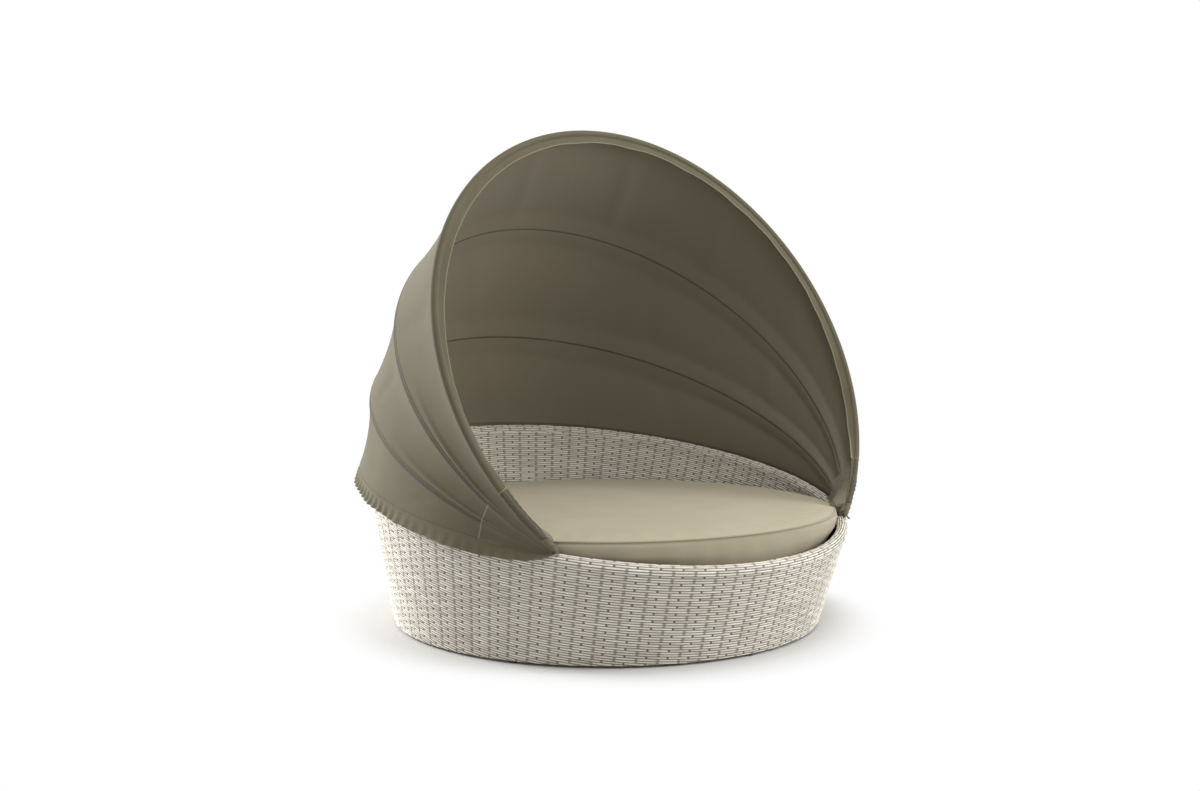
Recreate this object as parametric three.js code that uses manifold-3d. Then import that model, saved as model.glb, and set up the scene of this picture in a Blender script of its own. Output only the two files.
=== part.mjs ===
// Outdoor daybed with a folding canopy: a round woven tub whose rim leans back, a loose round seat
// cushion, and a three-bow canopy that folds back about one pair of pivots on the rim.
// Millimetres, +Z up. The origin is on the floor under the middle foot, and the open front faces -Y.
import * as THREE from 'three';
import { mergeVertices } from 'three/addons/utils/BufferGeometryUtils.js';
import Module from 'manifold-3d';

const wasm = await Module();
wasm.setup();

const rad = THREE.MathUtils.degToRad;
const { cos, sin, sqrt, PI } = Math;

// Tub
const floorGap = 8;              // lower edge of the weave above the floor
const footRadius = 796;          // outside of the weave at its lower edge
const rimFlare = 109;            // how far the rim stands out over the foot
const rimRadius = footRadius + rimFlare;
const rimTilt = rad(10.9);       // the rim leans, low at the front
const rimCentreY = -6;
const seatHeight = 412;          // top seam of the cushion above the floor
const rimRise = 82;              // from there up to the middle of the plane on top of the rim
const rimCentreZ = seatHeight + rimRise;
const rimRoll = 40;              // thickness of the woven roll round the rim
const rimTubeRadius = 11;
const rollLip = 8;               // the roll's outer edge, below its middle
const weave = 5;                 // thickness of the woven skins
const innerWeaveDrop = 15;       // upper edge of the inner weave, below the middle of the roll
const courses = 3;               // steps of a woven skin from edge to edge, as its facets twist
const wallThickness = 30;
const skinEase = 0.8;            // between the curved skins and rings and the straight struts
const divisions = 36;            // angular steps of every ring of the tub

// Frame under the cushion
const tubeSide = 25;             // square tube of the base ring, up and down
const baseRingRise = 5;          // from the top of the glides to the base ring
const deckRingWidth = 30;
const deckRingHeight = 30;
const strutCount = 12;
const strutWidth = 20;
const slatCount = 15;
const slatThickness = 12;
const slatWidth = 72;
const beamSpacing = 400;
const beamWidth = 40;
const beamCount = 3;
const legRadius = 20;
const legPlateRadius = 45;
const legPlateThickness = 5;
const glideCount = 6;
const glideRadius = 14;
const glideHeight = 7;
const glideStemRadius = 6;
const middleFootRadius = 35;
const footChamfer = 2;

// Seat cushion
const cushionThickness = 125;
const cushionBackGap = 5.4;      // from the inner weave to the cushion, at its top seam
const cushionFrontGap = 13.7;    // the same at the front, over the deck
const cushionFootTuck = 6.2;     // the sides draw in towards the bottom seam, more than the wall does
const cushionCrown = 18;
const crownRingShares = [0.985, 0.93, 0.8, 0.55, 0.25, 0];    // rings of the top, from seam to middle
const cushionSegments = 40;
const boxingSteps = 5;
const boxingBulge = 5;
const coverThickness = 1.5;

// Canopy: the planes of the three bows meet in one line across the rim
const meetingLineForward = 620;  // that line in front of the rim's centre
const spanInset = 9.3;           // from the outside of the rim to the canopy's tips, on that line
const lowerOverhang = 9;         // of the cloth over each bow, outside the rim's circle
const upperOverhang = 12;
const frontOverhang = 16;
const lowerBow = { angle: rad(15.1), radius: rimRadius + lowerOverhang };
const upperBow = { angle: rad(35), radius: rimRadius + upperOverhang };
const frontBow = { angle: rad(55.2), radius: rimRadius + frontOverhang };
const bowTubeRadius = 9;
const fabric = 1.6;
const sleeveEase = 0.4;          // slack of a sleeve round its tube
const panelSagShare = 0.06;      // depth of a panel's hollow, as a share of its width
const facingWidth = 52;          // stitched band inside the front bow
const facingThickness = 4;
const skirtDrop = 45;            // hem below the top of the rim
const skirtTipDrop = 17;         // the same at the two tips
const skirtTaper = 140;          // over which the hem comes down to its full drop
const skirtKneeShare = 0.7;      // of the drop, where the skirt has half its flare
const skirtFlare = 8;
const skirtFoldCount = 18;
const skirtFoldDepth = 5;        // of the gathers, at the hem
const skirtTop = 3;              // seam of the skirt and the rear panel, above the rim
const edgeGap = 8.2;             // from a bow's plane to the edge of a panel, beside the sleeve
const edgeGapShare = 0.3;        // the same at the tips, as a share of the panel's width
const tipStart = 16;             // where the cloth starts, up from the meeting line
const bowSteps = 30;
const tipSteps = 3;

// Pivots
const pivotHeight = 20;          // above the top of the rim
const cheekInset = 30.6;         // from the middle of the rim to the bracket's upright cheek
const cheekThickness = 8;
const plateThickness = 4.5;
const strapWidth = 20;
const strapLength = 64;
const pinRadius = 5;
const pinHeadRadius = 9;
const pinHeadHeight = 4;
const nutRadius = 8;
const nutHeight = 6;
const eyeRadius = 13;
const lugThickness = 6;
const lugHalfWidth = 7;
const hubThickness = 1;          // raised ring round an eye, which spaces it from the next one
const hubRadius = 9;
const bowStart = 130;            // where a bow's tube starts, up its plane from the meeting line
const socketLength = 14;
const flatArmShare = 0.45;       // share of an arm that keeps the section of its lug
const cornerTop = 54;            // where the fixed corners end, up from the meeting line
const screwRadius = 2.5;
const screwHeadRadius = 5;
const screwHeadHeight = 2.5;
const screwPitch = 28;

const fit = 0.3;                 // gap between pieces that touch
const runningFit = 0.5;          // radial gap of an eye on its pin
const overcut = 5;               // cutting forms run past the faces by this much
const sameCorner = 1e-4;         // corners nearer than this are one

// Meshes

// Joins rows of points into a closed skin. Rows and columns may each close on themselves, and
// capped rows are closed at both ends by a strip from their first point to their last.
function skin(rows, { closeRows = false, closeColumns = true, capped = false } = {}) {
  const width = rows[0].length;
  const positions = rows.flat(2);
  const index = [];
  const rowSpans = closeRows ? rows.length : rows.length - 1;
  const columnSpans = closeColumns ? width : width - 1;
  for (let i = 0; i < rowSpans; i++) {
    for (let j = 0; j < columnSpans; j++) {
      const next = ((i + 1) % rows.length) * width;
      const side = (j + 1) % width;
      index.push(i * width + j, i * width + side, next + side);
      index.push(i * width + j, next + side, next + j);
    }
  }
  if (capped) {
    const last = (rows.length - 1) * width;
    for (let j = 0; j < width / 2 - 1; j++) {
      const far = width - 1 - j;
      for (const [a, b, c] of [[j, far - 1, j + 1], [j, far, far - 1]]) {
        index.push(a, b, c, last + c, last + b, last + a);
      }
    }
  }
  const geometry = new THREE.BufferGeometry();
  geometry.setAttribute('position', new THREE.Float32BufferAttribute(positions, 3));
  geometry.setIndex(index);
  return faceOut(geometry);
}

// Turns a closed geometry the right way round by the sign of its volume.
function faceOut(geometry) {
  const p = geometry.attributes.position;
  const index = geometry.index.array;
  const [a, b, c] = [new THREE.Vector3(), new THREE.Vector3(), new THREE.Vector3()];
  let volume = 0;
  for (let i = 0; i < index.length; i += 3) {
    a.fromBufferAttribute(p, index[i]);
    b.fromBufferAttribute(p, index[i + 1]);
    c.fromBufferAttribute(p, index[i + 2]);
    volume += a.dot(b.cross(c));
  }
  if (volume < 0) geometry.setIndex(Array.from(index).reverse());
  return geometry;
}

// A sheet of cloth with a thickness: point(u, v, side) gives its outer (0) and inner (1) faces.
function sheet(point, stepsU, stepsV) {
  const shares = Array.from({ length: stepsV + 1 }, (_, j) => j / stepsV);
  const rows = Array.from({ length: stepsU + 1 }, (_, i) => [
    ...shares.map((v) => point(i / stepsU, v, 0)),
    ...shares.toReversed().map((v) => point(i / stepsU, v, 1)),
  ]);
  return skin(rows, { capped: true });
}

// A sleeve: an outer and an inner row of points at every step of a path, open at both ends.
function sleeveSkin(outer, inner, steps) {
  const rows = [];
  for (let i = 0; i <= steps; i++) rows.push(outer(i / steps));
  for (let i = steps; i >= 0; i--) rows.push(inner(i / steps));
  return skin(rows, { closeRows: true });
}

function lathe(profile, segments, x = 0, y = 0) {
  const points = profile.map(([r, z]) => new THREE.Vector2(r, z));
  const geometry = new THREE.LatheGeometry(points, segments);
  geometry.rotateX(PI / 2);
  geometry.translate(x, y, 0);
  return closed(geometry);
}

// Merges the shared corners, so that a geometry is one closed skin.
function closed(geometry) {
  const bare = new THREE.BufferGeometry();
  bare.setAttribute('position', geometry.attributes.position.clone());
  if (geometry.index) bare.setIndex(geometry.index.clone());
  const merged = mergeVertices(bare, sameCorner);
  const index = [];
  const old = merged.index.array;
  for (let i = 0; i < old.length; i += 3) {
    const [a, b, c] = [old[i], old[i + 1], old[i + 2]];
    if (a !== b && b !== c && c !== a) index.push(a, b, c);
  }
  merged.setIndex(index);
  return faceOut(merged);
}

function toManifold(geometry) {
  const g = closed(geometry);
  return new wasm.Manifold(new wasm.Mesh({
    numProp: 3,
    vertProperties: new Float32Array(g.attributes.position.array),
    triVerts: new Uint32Array(g.index.array),
  }));
}

function fromManifold(solid) {
  const mesh = solid.getMesh();
  const geometry = new THREE.BufferGeometry();
  const positions = [];
  for (let i = 0; i < mesh.numVert; i++) {
    for (let k = 0; k < 3; k++) positions.push(mesh.vertProperties[i * mesh.numProp + k]);
  }
  geometry.setAttribute('position', new THREE.Float32BufferAttribute(positions, 3));
  geometry.setIndex(Array.from(mesh.triVerts));
  return geometry;
}

const join = (...parts) => fromManifold(parts.map(toManifold).reduce((a, b) => a.add(b)));
const cut = (body, ...tools) => fromManifold(tools.map(toManifold)
  .reduce((a, b) => a.subtract(b), toManifold(body)));
const common = (a, b) => fromManifold(toManifold(a).intersect(toManifold(b)));

const lerp = (a, b, share) => a.map((v, k) => v + (b[k] - v) * share);

function box(x0, x1, y0, y1, z0, z1) {
  const geometry = new THREE.BoxGeometry(x1 - x0, y1 - y0, z1 - z0);
  geometry.translate((x0 + x1) / 2, (y0 + y1) / 2, (z0 + z1) / 2);
  return geometry;
}

// Places: the tub's wall

// A point of the wall at one of the ring's divisions. Share 0 is the weave's lower edge and 1 the
// plane through the rim tube, and inset is the depth inside the outer face.
function divisionPoint(step, share, inset) {
  const angle = (step / divisions) * 2 * PI;
  const [c, s] = [cos(angle), sin(angle)];
  const foot = [(footRadius - inset) * c, (footRadius - inset) * s, floorGap];
  const reach = rimRadius - inset;
  const top = [
    reach * c,
    rimCentreY + reach * s * cos(rimTilt) + (rimRoll / 2) * sin(rimTilt),
    rimCentreZ + reach * s * sin(rimTilt) - (rimRoll / 2) * cos(rimTilt),
  ];
  return lerp(foot, top, share);
}

// The same at any angle, on the flat facet between two divisions.
function wallPoint(angle, share, inset) {
  const step = (angle / (2 * PI)) * divisions;
  const whole = Math.floor(step);
  const ends = [whole, whole + 1].map((i) => divisionPoint(i, share, inset));
  return lerp(...ends, step - whole);
}

const shareAtHeight = (angle, z, inset) => (z - floorGap) / (wallPoint(angle, 1, inset)[2] - floorGap);
const wallAtHeight = (angle, z, inset) => wallPoint(angle, shareAtHeight(angle, z, inset), inset);

// A point of the wall a given drop square below the plane through the rim tube.
const rimNormal = new THREE.Vector3(0, -sin(rimTilt), cos(rimTilt));
function wallBelowRim(angle, drop, inset) {
  const wall = new THREE.Vector3(...wallPoint(angle, 1, inset))
    .sub(new THREE.Vector3(...wallPoint(angle, 0, inset)));
  return wallPoint(angle, 1 - drop / wall.dot(rimNormal), inset);
}

// A ring that closes on itself, with the same section points at every division.
function ring(section) {
  const rows = Array.from({ length: divisions }, (_, i) => section((i / divisions) * 2 * PI));
  return skin(rows, { closeRows: true });
}

// Places: the plane on top of the rim. x is across, back runs up the slope from the meeting line
// of the bows, and up is square to the plane.
const meetingY = rimCentreY - meetingLineForward * cos(rimTilt);
const meetingZ = rimCentreZ - meetingLineForward * sin(rimTilt);
const onRim = (x, back, up) => [
  x,
  meetingY + back * cos(rimTilt) - up * sin(rimTilt),
  meetingZ + back * sin(rimTilt) + up * cos(rimTilt),
];
const rimFrame = new THREE.Matrix4().makeRotationX(rimTilt).setPosition(0, meetingY, meetingZ);

// A point at an angle round the rim, a radius from its centre and a height over its plane.
const roundRim = (angle, radius, up) => onRim(
  radius * cos(angle), meetingLineForward + radius * sin(angle), up);

// Tub frame

const skinInner = weave + skinEase;                       // outer face of the struts
const strutInner = wallThickness - weave - skinEase;      // inner face of the struts
const deckTop = seatHeight - cushionThickness - fit;
const deckRingTop = deckTop - slatThickness - fit;
const deckRingFoot = deckRingTop - deckRingHeight;
const baseRingFoot = glideHeight + baseRingRise;
const baseRingTop = baseRingFoot + tubeSide;

function squareRing(low, high, outer, inner) {
  return ring((angle) => [
    wallAtHeight(angle, low, outer),
    wallAtHeight(angle, high, outer),
    wallAtHeight(angle, high, inner),
    wallAtHeight(angle, low, inner),
  ]);
}

const baseRing = squareRing(baseRingFoot, baseRingTop, skinInner, skinInner + tubeSide);
const deckRingOuter = strutInner + skinEase;
const deckRingInner = deckRingOuter + deckRingWidth;
const deckRing = squareRing(deckRingFoot, deckRingTop, deckRingOuter, deckRingInner);

const octagonShares = Array.from({ length: 8 }, (_, k) => [cos((k * PI) / 4), sin((k * PI) / 4)]);
const rollRadius = rimRoll / 2;
const rollCentre = rimRadius - rollRadius;

const rimTubeRing = ring((angle) => octagonShares.map(([out, up]) => roundRim(
  angle, rollCentre + rimTubeRadius * out, rimTubeRadius * up - rollRadius)));

// Each strut stands against the middle of a facet.
function strut(i) {
  const angle = (i / strutCount + 0.5 / divisions) * 2 * PI;
  const half = strutWidth / 2 / rimRadius;
  const section = (at) => [
    at(angle - half, skinInner), at(angle + half, skinInner),
    at(angle + half, strutInner), at(angle - half, strutInner),
  ];
  return skin([
    section((a, inset) => wallAtHeight(a, baseRingTop + fit, inset)),
    section((a, inset) => wallBelowRim(a, rimTubeRadius + fit, inset)),
  ], { capped: true });
}

// Everything inside the deck ring, as a cutting form for the beams
const beamTop = deckTop - slatThickness + fit;
const insideDeckRing = skin([deckRingFoot, beamTop].map((z) => Array.from(
  { length: divisions },
  (_, i) => wallAtHeight((i / divisions) * 2 * PI, z, deckRingInner + fit),
)), { capped: true });

function beam(i) {
  const x = (i - (beamCount - 1) / 2) * beamSpacing;
  const bar = box(x - beamWidth / 2, x + beamWidth / 2, -rimRadius, rimRadius,
    deckRingFoot, beamTop);
  return common(bar, insideDeckRing);
}

// The slats end over the middle of the deck ring.
const deckBack = wallAtHeight(PI / 2, deckRingTop, deckRingOuter + deckRingWidth / 2)[1];
const deckFront = wallAtHeight(-PI / 2, deckRingTop, deckRingOuter + deckRingWidth / 2)[1];
const deckRadius = (deckBack - deckFront) / 2;
const deckCentreY = (deckBack + deckFront) / 2;

function slat(i) {
  const pitch = (2 * deckRadius) / (slatCount + 0.5);
  const y = (i - (slatCount - 1) / 2) * pitch;
  const edge = Math.abs(y) + slatWidth / 2;
  const half = sqrt(deckRadius ** 2 - edge ** 2);
  return box(-half, half, deckCentreY + y - slatWidth / 2, deckCentreY + y + slatWidth / 2,
    deckTop - slatThickness, deckTop);
}

const times = (count, shape) => Array.from({ length: count }, (_, i) => shape(i));
const slattedDeck = join(...times(beamCount, beam), ...times(slatCount, slat));

// A disc on the floor with a stem up to what it carries
const glideProfile = (radius, stem, height, top) => [
  [0, 0], [radius - footChamfer, 0], [radius, footChamfer], [radius, height],
  [stem, height], [stem, top], [0, top],
];

function glide(i) {
  const angle = ((i + 0.5) / glideCount) * 2 * PI;
  const [x, y] = wallAtHeight(angle, baseRingFoot, skinInner + tubeSide / 2);
  return lathe(glideProfile(glideRadius, glideStemRadius, glideHeight, baseRingFoot - fit), 12, x, y);
}

const legFoot = glideHeight + fit;
const middleFoot = lathe([
  [0, 0], [middleFootRadius - footChamfer, 0], [middleFootRadius, footChamfer],
  [middleFootRadius, glideHeight], [0, glideHeight],
], 24);
const middleLeg = lathe([
  [0, legFoot], [legRadius, legFoot],
  [legRadius, deckRingFoot - fit - legPlateThickness],
  [legPlateRadius, deckRingFoot - fit - legPlateThickness],
  [legPlateRadius, deckRingFoot - fit], [0, deckRingFoot - fit],
], 24);

// Weave

// A woven skin between two edges of the wall
const wovenSkin = (low, high, outer) => ring((angle) => {
  const face = (inset) => Array.from({ length: courses + 1 }, (_, i) => lerp(
    low(angle, inset), high(angle, inset), i / courses));
  return [...face(outer), ...face(outer + weave).reverse()];
});

const outerWeave = wovenSkin(
  (angle, inset) => wallPoint(angle, 0, inset),
  (angle, inset) => wallBelowRim(angle, rollLip + fit, inset),
  0,
);
const innerWeave = wovenSkin(
  (angle, inset) => wallAtHeight(angle, deckRingTop + fit, inset),
  (angle, inset) => wallBelowRim(angle, innerWeaveDrop, inset),
  wallThickness - weave,
);

// The roll is a C in section, open below, where the struts reach the rim tube inside it.
const rollAngles = [0, 30, 60, 90, 120, 150, 180, 225].map(rad);
const rollBoreAngles = [225, 180, 120, 60, 0].map(rad);
const rollBore = (rimTubeRadius + fit) / cos(PI / 6) + fit;
const rollSection = [
  [rollRadius, -rollLip],
  ...rollAngles.map((a) => [rollRadius * cos(a), rollRadius * sin(a)]),
  ...rollBoreAngles.map((a) => [rollBore * cos(a), rollBore * sin(a)]),
  [rollRadius - weave, -rollLip],
];
const rollRing = ring((angle) => rollSection.map(([out, up]) => roundRim(
  angle, rollCentre + out, up - rollRadius)));

// Seat cushion: a zipped cover in two pieces round a foam core

const cushionFoot = seatHeight - cushionThickness;

const innerBack = (height) => wallAtHeight(PI / 2, height, wallThickness)[1];
const cushionBack = innerBack(seatHeight) - cushionBackGap;
const cushionFootInset = innerBack(seatHeight) - innerBack(cushionFoot) + cushionFootTuck;
const cushionFront = wallAtHeight(-PI / 2, cushionFoot, wallThickness)[1] + cushionFrontGap;
const cushionRadius = (cushionBack - cushionFront) / 2;
const cushionCentreY = (cushionBack + cushionFront) / 2;

// Half section of the cushion, drawn in at both seams and crowned on top, less a depth all round
function cushionProfile(depth, foot) {
  const profile = [];
  const bottom = cushionRadius - cushionFootInset;
  for (let i = 0; i <= boxingSteps; i++) {
    const share = i / boxingSteps;
    const bulge = boxingBulge * sin(share * PI);
    const r = bottom + (cushionRadius - bottom) * share + bulge - depth;
    profile.push([r, foot + (seatHeight - depth - foot) * share]);
  }
  for (const share of crownRingShares) {
    const rise = cushionCrown * (1 - share ** 5) ** 0.6;
    profile.push([(cushionRadius - depth) * share, seatHeight - depth + rise]);
  }
  return profile;
}

const basePanelTop = cushionFoot + coverThickness;
const coverFoot = basePanelTop + fit;
const coverOuter = cushionProfile(0, coverFoot);
const coverInner = cushionProfile(coverThickness, coverFoot).reverse();
const cushionCover = lathe(
  [...coverOuter, ...coverInner, coverOuter[0]], cushionSegments, 0, cushionCentreY);
const coreProfile = cushionProfile(coverThickness + fit, coverFoot);
const foamCore = lathe([[0, coverFoot], ...coreProfile], cushionSegments, 0, cushionCentreY);
const baseReach = cushionRadius - cushionFootInset;
const cushionBase = lathe([
  [0, cushionFoot], [baseReach, cushionFoot], [baseReach, basePanelTop], [0, basePanelTop],
], cushionSegments, 0, cushionCentreY);

// Canopy

const meetingHalfSpan = sqrt(rimRadius ** 2 - meetingLineForward ** 2) - spanInset;

// Distance from the meeting line to the middle of a circle of this radius through its two ends
const centreBack = (radius) => sqrt(radius ** 2 - meetingHalfSpan ** 2);

// A point of a bow's plane: at angle t round a circle about the canopy's middle, with the circle
// of a given outer radius drawn in by depth, and lifted square to the plane.
function inBowPlane(planeAngle, outerRadius, depth, t, lift) {
  const radius = outerRadius - depth;
  const along = centreBack(outerRadius) + radius * sin(t);
  return onRim(radius * cos(t),
    along * cos(planeAngle) - lift * sin(planeAngle),
    along * sin(planeAngle) + lift * cos(planeAngle));
}

// Angle round the circle at which it stands a given distance up its plane
const startAngle = (outerRadius, depth, along) => Math.asin(
  (along - centreBack(outerRadius)) / (outerRadius - depth));

const tubeDepth = fabric + sleeveEase + bowTubeRadius;    // middle of the tube inside the cloth

function bowSection(bow, t, radius) {
  return octagonShares.map(([out, up]) => inBowPlane(
    bow.angle, bow.radius, tubeDepth - radius * out, t, radius * up));
}

// Angle of a station round the canopy. Stations 0 to bowSteps follow the tubes, and the cloth has
// tipSteps more at each end, down to its tips on the rim.
function stationAngle(outerRadius, station) {
  const first = startAngle(outerRadius, tubeDepth, bowStart + fit);
  const tip = startAngle(outerRadius, 0, tipStart);
  if (station < 0) return first + ((tip - first) * -station) / tipSteps;
  if (station > bowSteps) return PI - stationAngle(outerRadius, bowSteps - station);
  return first + (PI - 2 * first) * (station / bowSteps);
}

const alongBow = (bow) => (u) => stationAngle(bow.radius, u * bowSteps);

function bowTube(bow) {
  const t = alongBow(bow);
  const rows = Array.from({ length: bowSteps + 1 }, (_, i) => bowSection(
    bow, t(i / bowSteps), bowTubeRadius));
  return skin(rows, { capped: true });
}

function bowSleeve(bow) {
  const t = alongBow(bow);
  const bore = bowTubeRadius + sleeveEase;
  const section = (radius) => (u) => bowSection(bow, t(u), radius);
  return sleeveSkin(section(bore + fabric), section(bore), bowSteps);
}

// The front sleeve carries the flat stitched band that shows inside the opening.
function frontFacing() {
  const t = alongBow(frontBow);
  const bore = bowTubeRadius + sleeveEase;
  const outer = bore + fabric;
  const angles = [0, 45, 90, 135, 172, 188, 225, 270, 315].map(rad);
  const section = (u, radii) => angles.map((a, k) => inBowPlane(
    frontBow.angle, frontBow.radius, tubeDepth - radii[k][0], t(u), radii[k][1]));
  const round = (radius) => angles.map((a) => [radius * cos(a), radius * sin(a)]);
  const band = round(outer);
  band[4] = [-facingWidth + outer, facingThickness / 2];
  band[5] = [-facingWidth + outer, -facingThickness / 2];
  return sleeveSkin((u) => section(u, band), (u) => section(u, round(bore / cos(PI / 8))), bowSteps);
}

// A panel of cloth between two planes, hollow between its bows
function panel(low, high, lowGap) {
  return sheet((u, v, side) => {
    const radius = low.radius + (high.radius - low.radius) * v;
    const t = stationAngle(radius, (bowSteps + 2 * tipSteps) * u - tipSteps);
    const along = centreBack(radius) + radius * sin(t);
    const width = high.angle - low.angle;
    const from = Math.min(lowGap / along, width * edgeGapShare);
    const to = Math.min(edgeGap / along, width * edgeGapShare);
    const angle = low.angle + from + (width - from - to) * v;
    const across = (angle - low.angle) / width;
    const sag = panelSagShare * along * width * 4 * across * (1 - across);
    return inBowPlane(angle, radius, sag + side * fabric, t, 0);
  }, bowSteps + 2 * tipSteps, 4);
}

// The rear panel starts on the rim's plane, just over the skirt.
const rimLine = { angle: 0, radius: lowerBow.radius };

// The skirt hangs outside the rim from tip to tip.
function skirt() {
  const tip = Math.asin((tipStart - meetingLineForward) / rimRadius);
  const clothRadius = (angle) => {
    const shift = centreBack(lowerBow.radius) - meetingLineForward;
    return shift * sin(angle) + sqrt(lowerBow.radius ** 2 - (shift * cos(angle)) ** 2);
  };
  return sheet((u, v, side) => {
    const angle = tip + (PI - 2 * tip) * u;
    const cloth = clothRadius(angle);
    const along = meetingLineForward + cloth * sin(angle);
    const seam = Math.min(skirtTop, edgeGapShare * lowerBow.angle * along) - fit;
    const drop = skirtTipDrop + (skirtDrop - skirtTipDrop) * Math.min(1, along / skirtTaper);
    const clear = Math.max(cloth, (rimRadius + skinEase) / cos(PI / divisions) + fabric);
    const fold = skirtFoldDepth * (1 - cos(2 * PI * skirtFoldCount * u)) / 2;
    const section = [
      [cloth, seam], [clear, -rollRadius / 2],
      [clear + (skirtFlare + fold) / 2, -skirtKneeShare * drop], [clear + skirtFlare + fold, -drop],
    ];
    const [radius, up] = section[Math.round(v * 3)];
    return roundRim(angle, radius - side * fabric, up);
  }, 4 * skirtFoldCount, 3);
}

// Static end of the stitched band, which stands on the rim in front of the pivot
function cornerToe(hand) {
  const steps = 3;
  const rows = [];
  for (let i = 0; i <= steps; i++) {
    const along = facingThickness + (cornerTop - facingThickness) * (i / steps);
    rows.push([[0, 1], [1, 1], [1, -1], [0, -1]].map(([inner, up]) => {
      const depth = fabric + fit + inner * (facingWidth - fabric);
      const t = startAngle(frontBow.radius, depth, along);
      const lift = (up * facingThickness) / 2;
      const [x, y, z] = inBowPlane(frontBow.angle, frontBow.radius, depth, t, lift);
      return [hand * x, y, z];
    }));
  }
  return skin(rows, { capped: true });
}

// Pivots

// The pivots lie in the lower bow's own plane.
const pivotBack = pivotHeight / Math.tan(lowerBow.angle);
// Direction of the rim under the pivot, seen in its plane, and the middle of the rim there
const rimAngle = Math.asin((pivotBack - meetingLineForward) / rollCentre);
const rimRun = new THREE.Vector2(-sin(rimAngle), cos(rimAngle));
const rimUnderPivot = new THREE.Vector2(rollCentre * cos(rimAngle), pivotBack);
const cheekX = rimUnderPivot.x - cheekInset;
const cheekOuter = cheekX + cheekThickness;
const firstLugX = cheekOuter + fit + hubThickness;
const lugPitch = lugThickness + fit + hubThickness;
const lugX = { front: firstLugX, upper: firstLugX + lugPitch, lower: firstLugX + 2 * lugPitch };
const headX = lugX.lower + lugThickness + fit;

// A round bar across the canopy from x0 to x1, through the pivots
function crossBar(x0, x1, radius, sides, back = pivotBack, up = pivotHeight) {
  const geometry = new THREE.CylinderGeometry(radius, radius, x1 - x0, sides);
  geometry.rotateZ(PI / 2);
  geometry.translate((x0 + x1) / 2, back, up);
  return geometry;
}

function place(geometry, hand) {
  const placed = closed(geometry).applyMatrix4(rimFrame);
  if (hand > 0) return faceOut(placed);
  return faceOut(placed.scale(-1, 1, 1));
}

const screwPlaces = [1, 2].map((k) => rimUnderPivot.clone()
  .addScaledVector(rimRun, eyeRadius + screwPitch * k - screwPitch / 2));

function upright(x, y, radius, z0, z1, sides) {
  const geometry = new THREE.CylinderGeometry(radius, radius, z1 - z0, sides);
  geometry.rotateX(PI / 2);
  geometry.translate(x, y, (z0 + z1) / 2);
  return geometry;
}

function bracketShape() {
  const top = fit + plateThickness;
  const strap = box(-eyeRadius, strapLength, -strapWidth / 2, strapWidth / 2, fit, top);
  strap.rotateZ(rimRun.angle());
  strap.translate(rimUnderPivot.x, rimUnderPivot.y, 0);
  const [front, rear] = [pivotBack - eyeRadius, pivotBack + eyeRadius];
  const pad = box(cheekX - cheekThickness / 2, rimUnderPivot.x, front, rear, fit, top);
  const cheek = box(cheekX, cheekOuter, front, rear, top / 2, pivotHeight);
  const boss = crossBar(cheekX, cheekOuter, eyeRadius, 24);
  const bore = crossBar(cheekX - overcut, cheekOuter + overcut, pinRadius + runningFit, 16);
  const holes = screwPlaces.map((p) => upright(
    p.x, p.y, screwRadius + runningFit, -overcut, top + overcut, 12));
  return cut(join(strap, pad, cheek, boss), bore, ...holes);
}

function pinShape() {
  const shank = crossBar(cheekX - nutHeight - fit * 2, headX + fit, pinRadius, 16);
  const head = crossBar(headX, headX + pinHeadHeight, pinHeadRadius, 16);
  return join(shank, head);
}

function nutShape() {
  const nut = crossBar(cheekX - nutHeight - fit, cheekX - fit, nutRadius, 6);
  return cut(nut, crossBar(cheekX - nutHeight * 2, cheekX, pinRadius + fit, 16));
}

const screwDepth = rollRadius;
function screwShape(p) {
  const seat = 2 * fit + plateThickness;
  return join(
    upright(p.x, p.y, screwRadius, -screwDepth, seat + fit, 8),
    upright(p.x, p.y, screwHeadRadius, seat, seat + screwHeadHeight, 12),
  );
}

const screwBores = screwPlaces.map((p) => upright(
  p.x, p.y, screwRadius + fit, -screwDepth - fit, rollRadius, 10));
const bothSides = (shapes) => shapes.flatMap((s) => [place(s.clone(), 1), place(s.clone(), -1)]);

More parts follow.
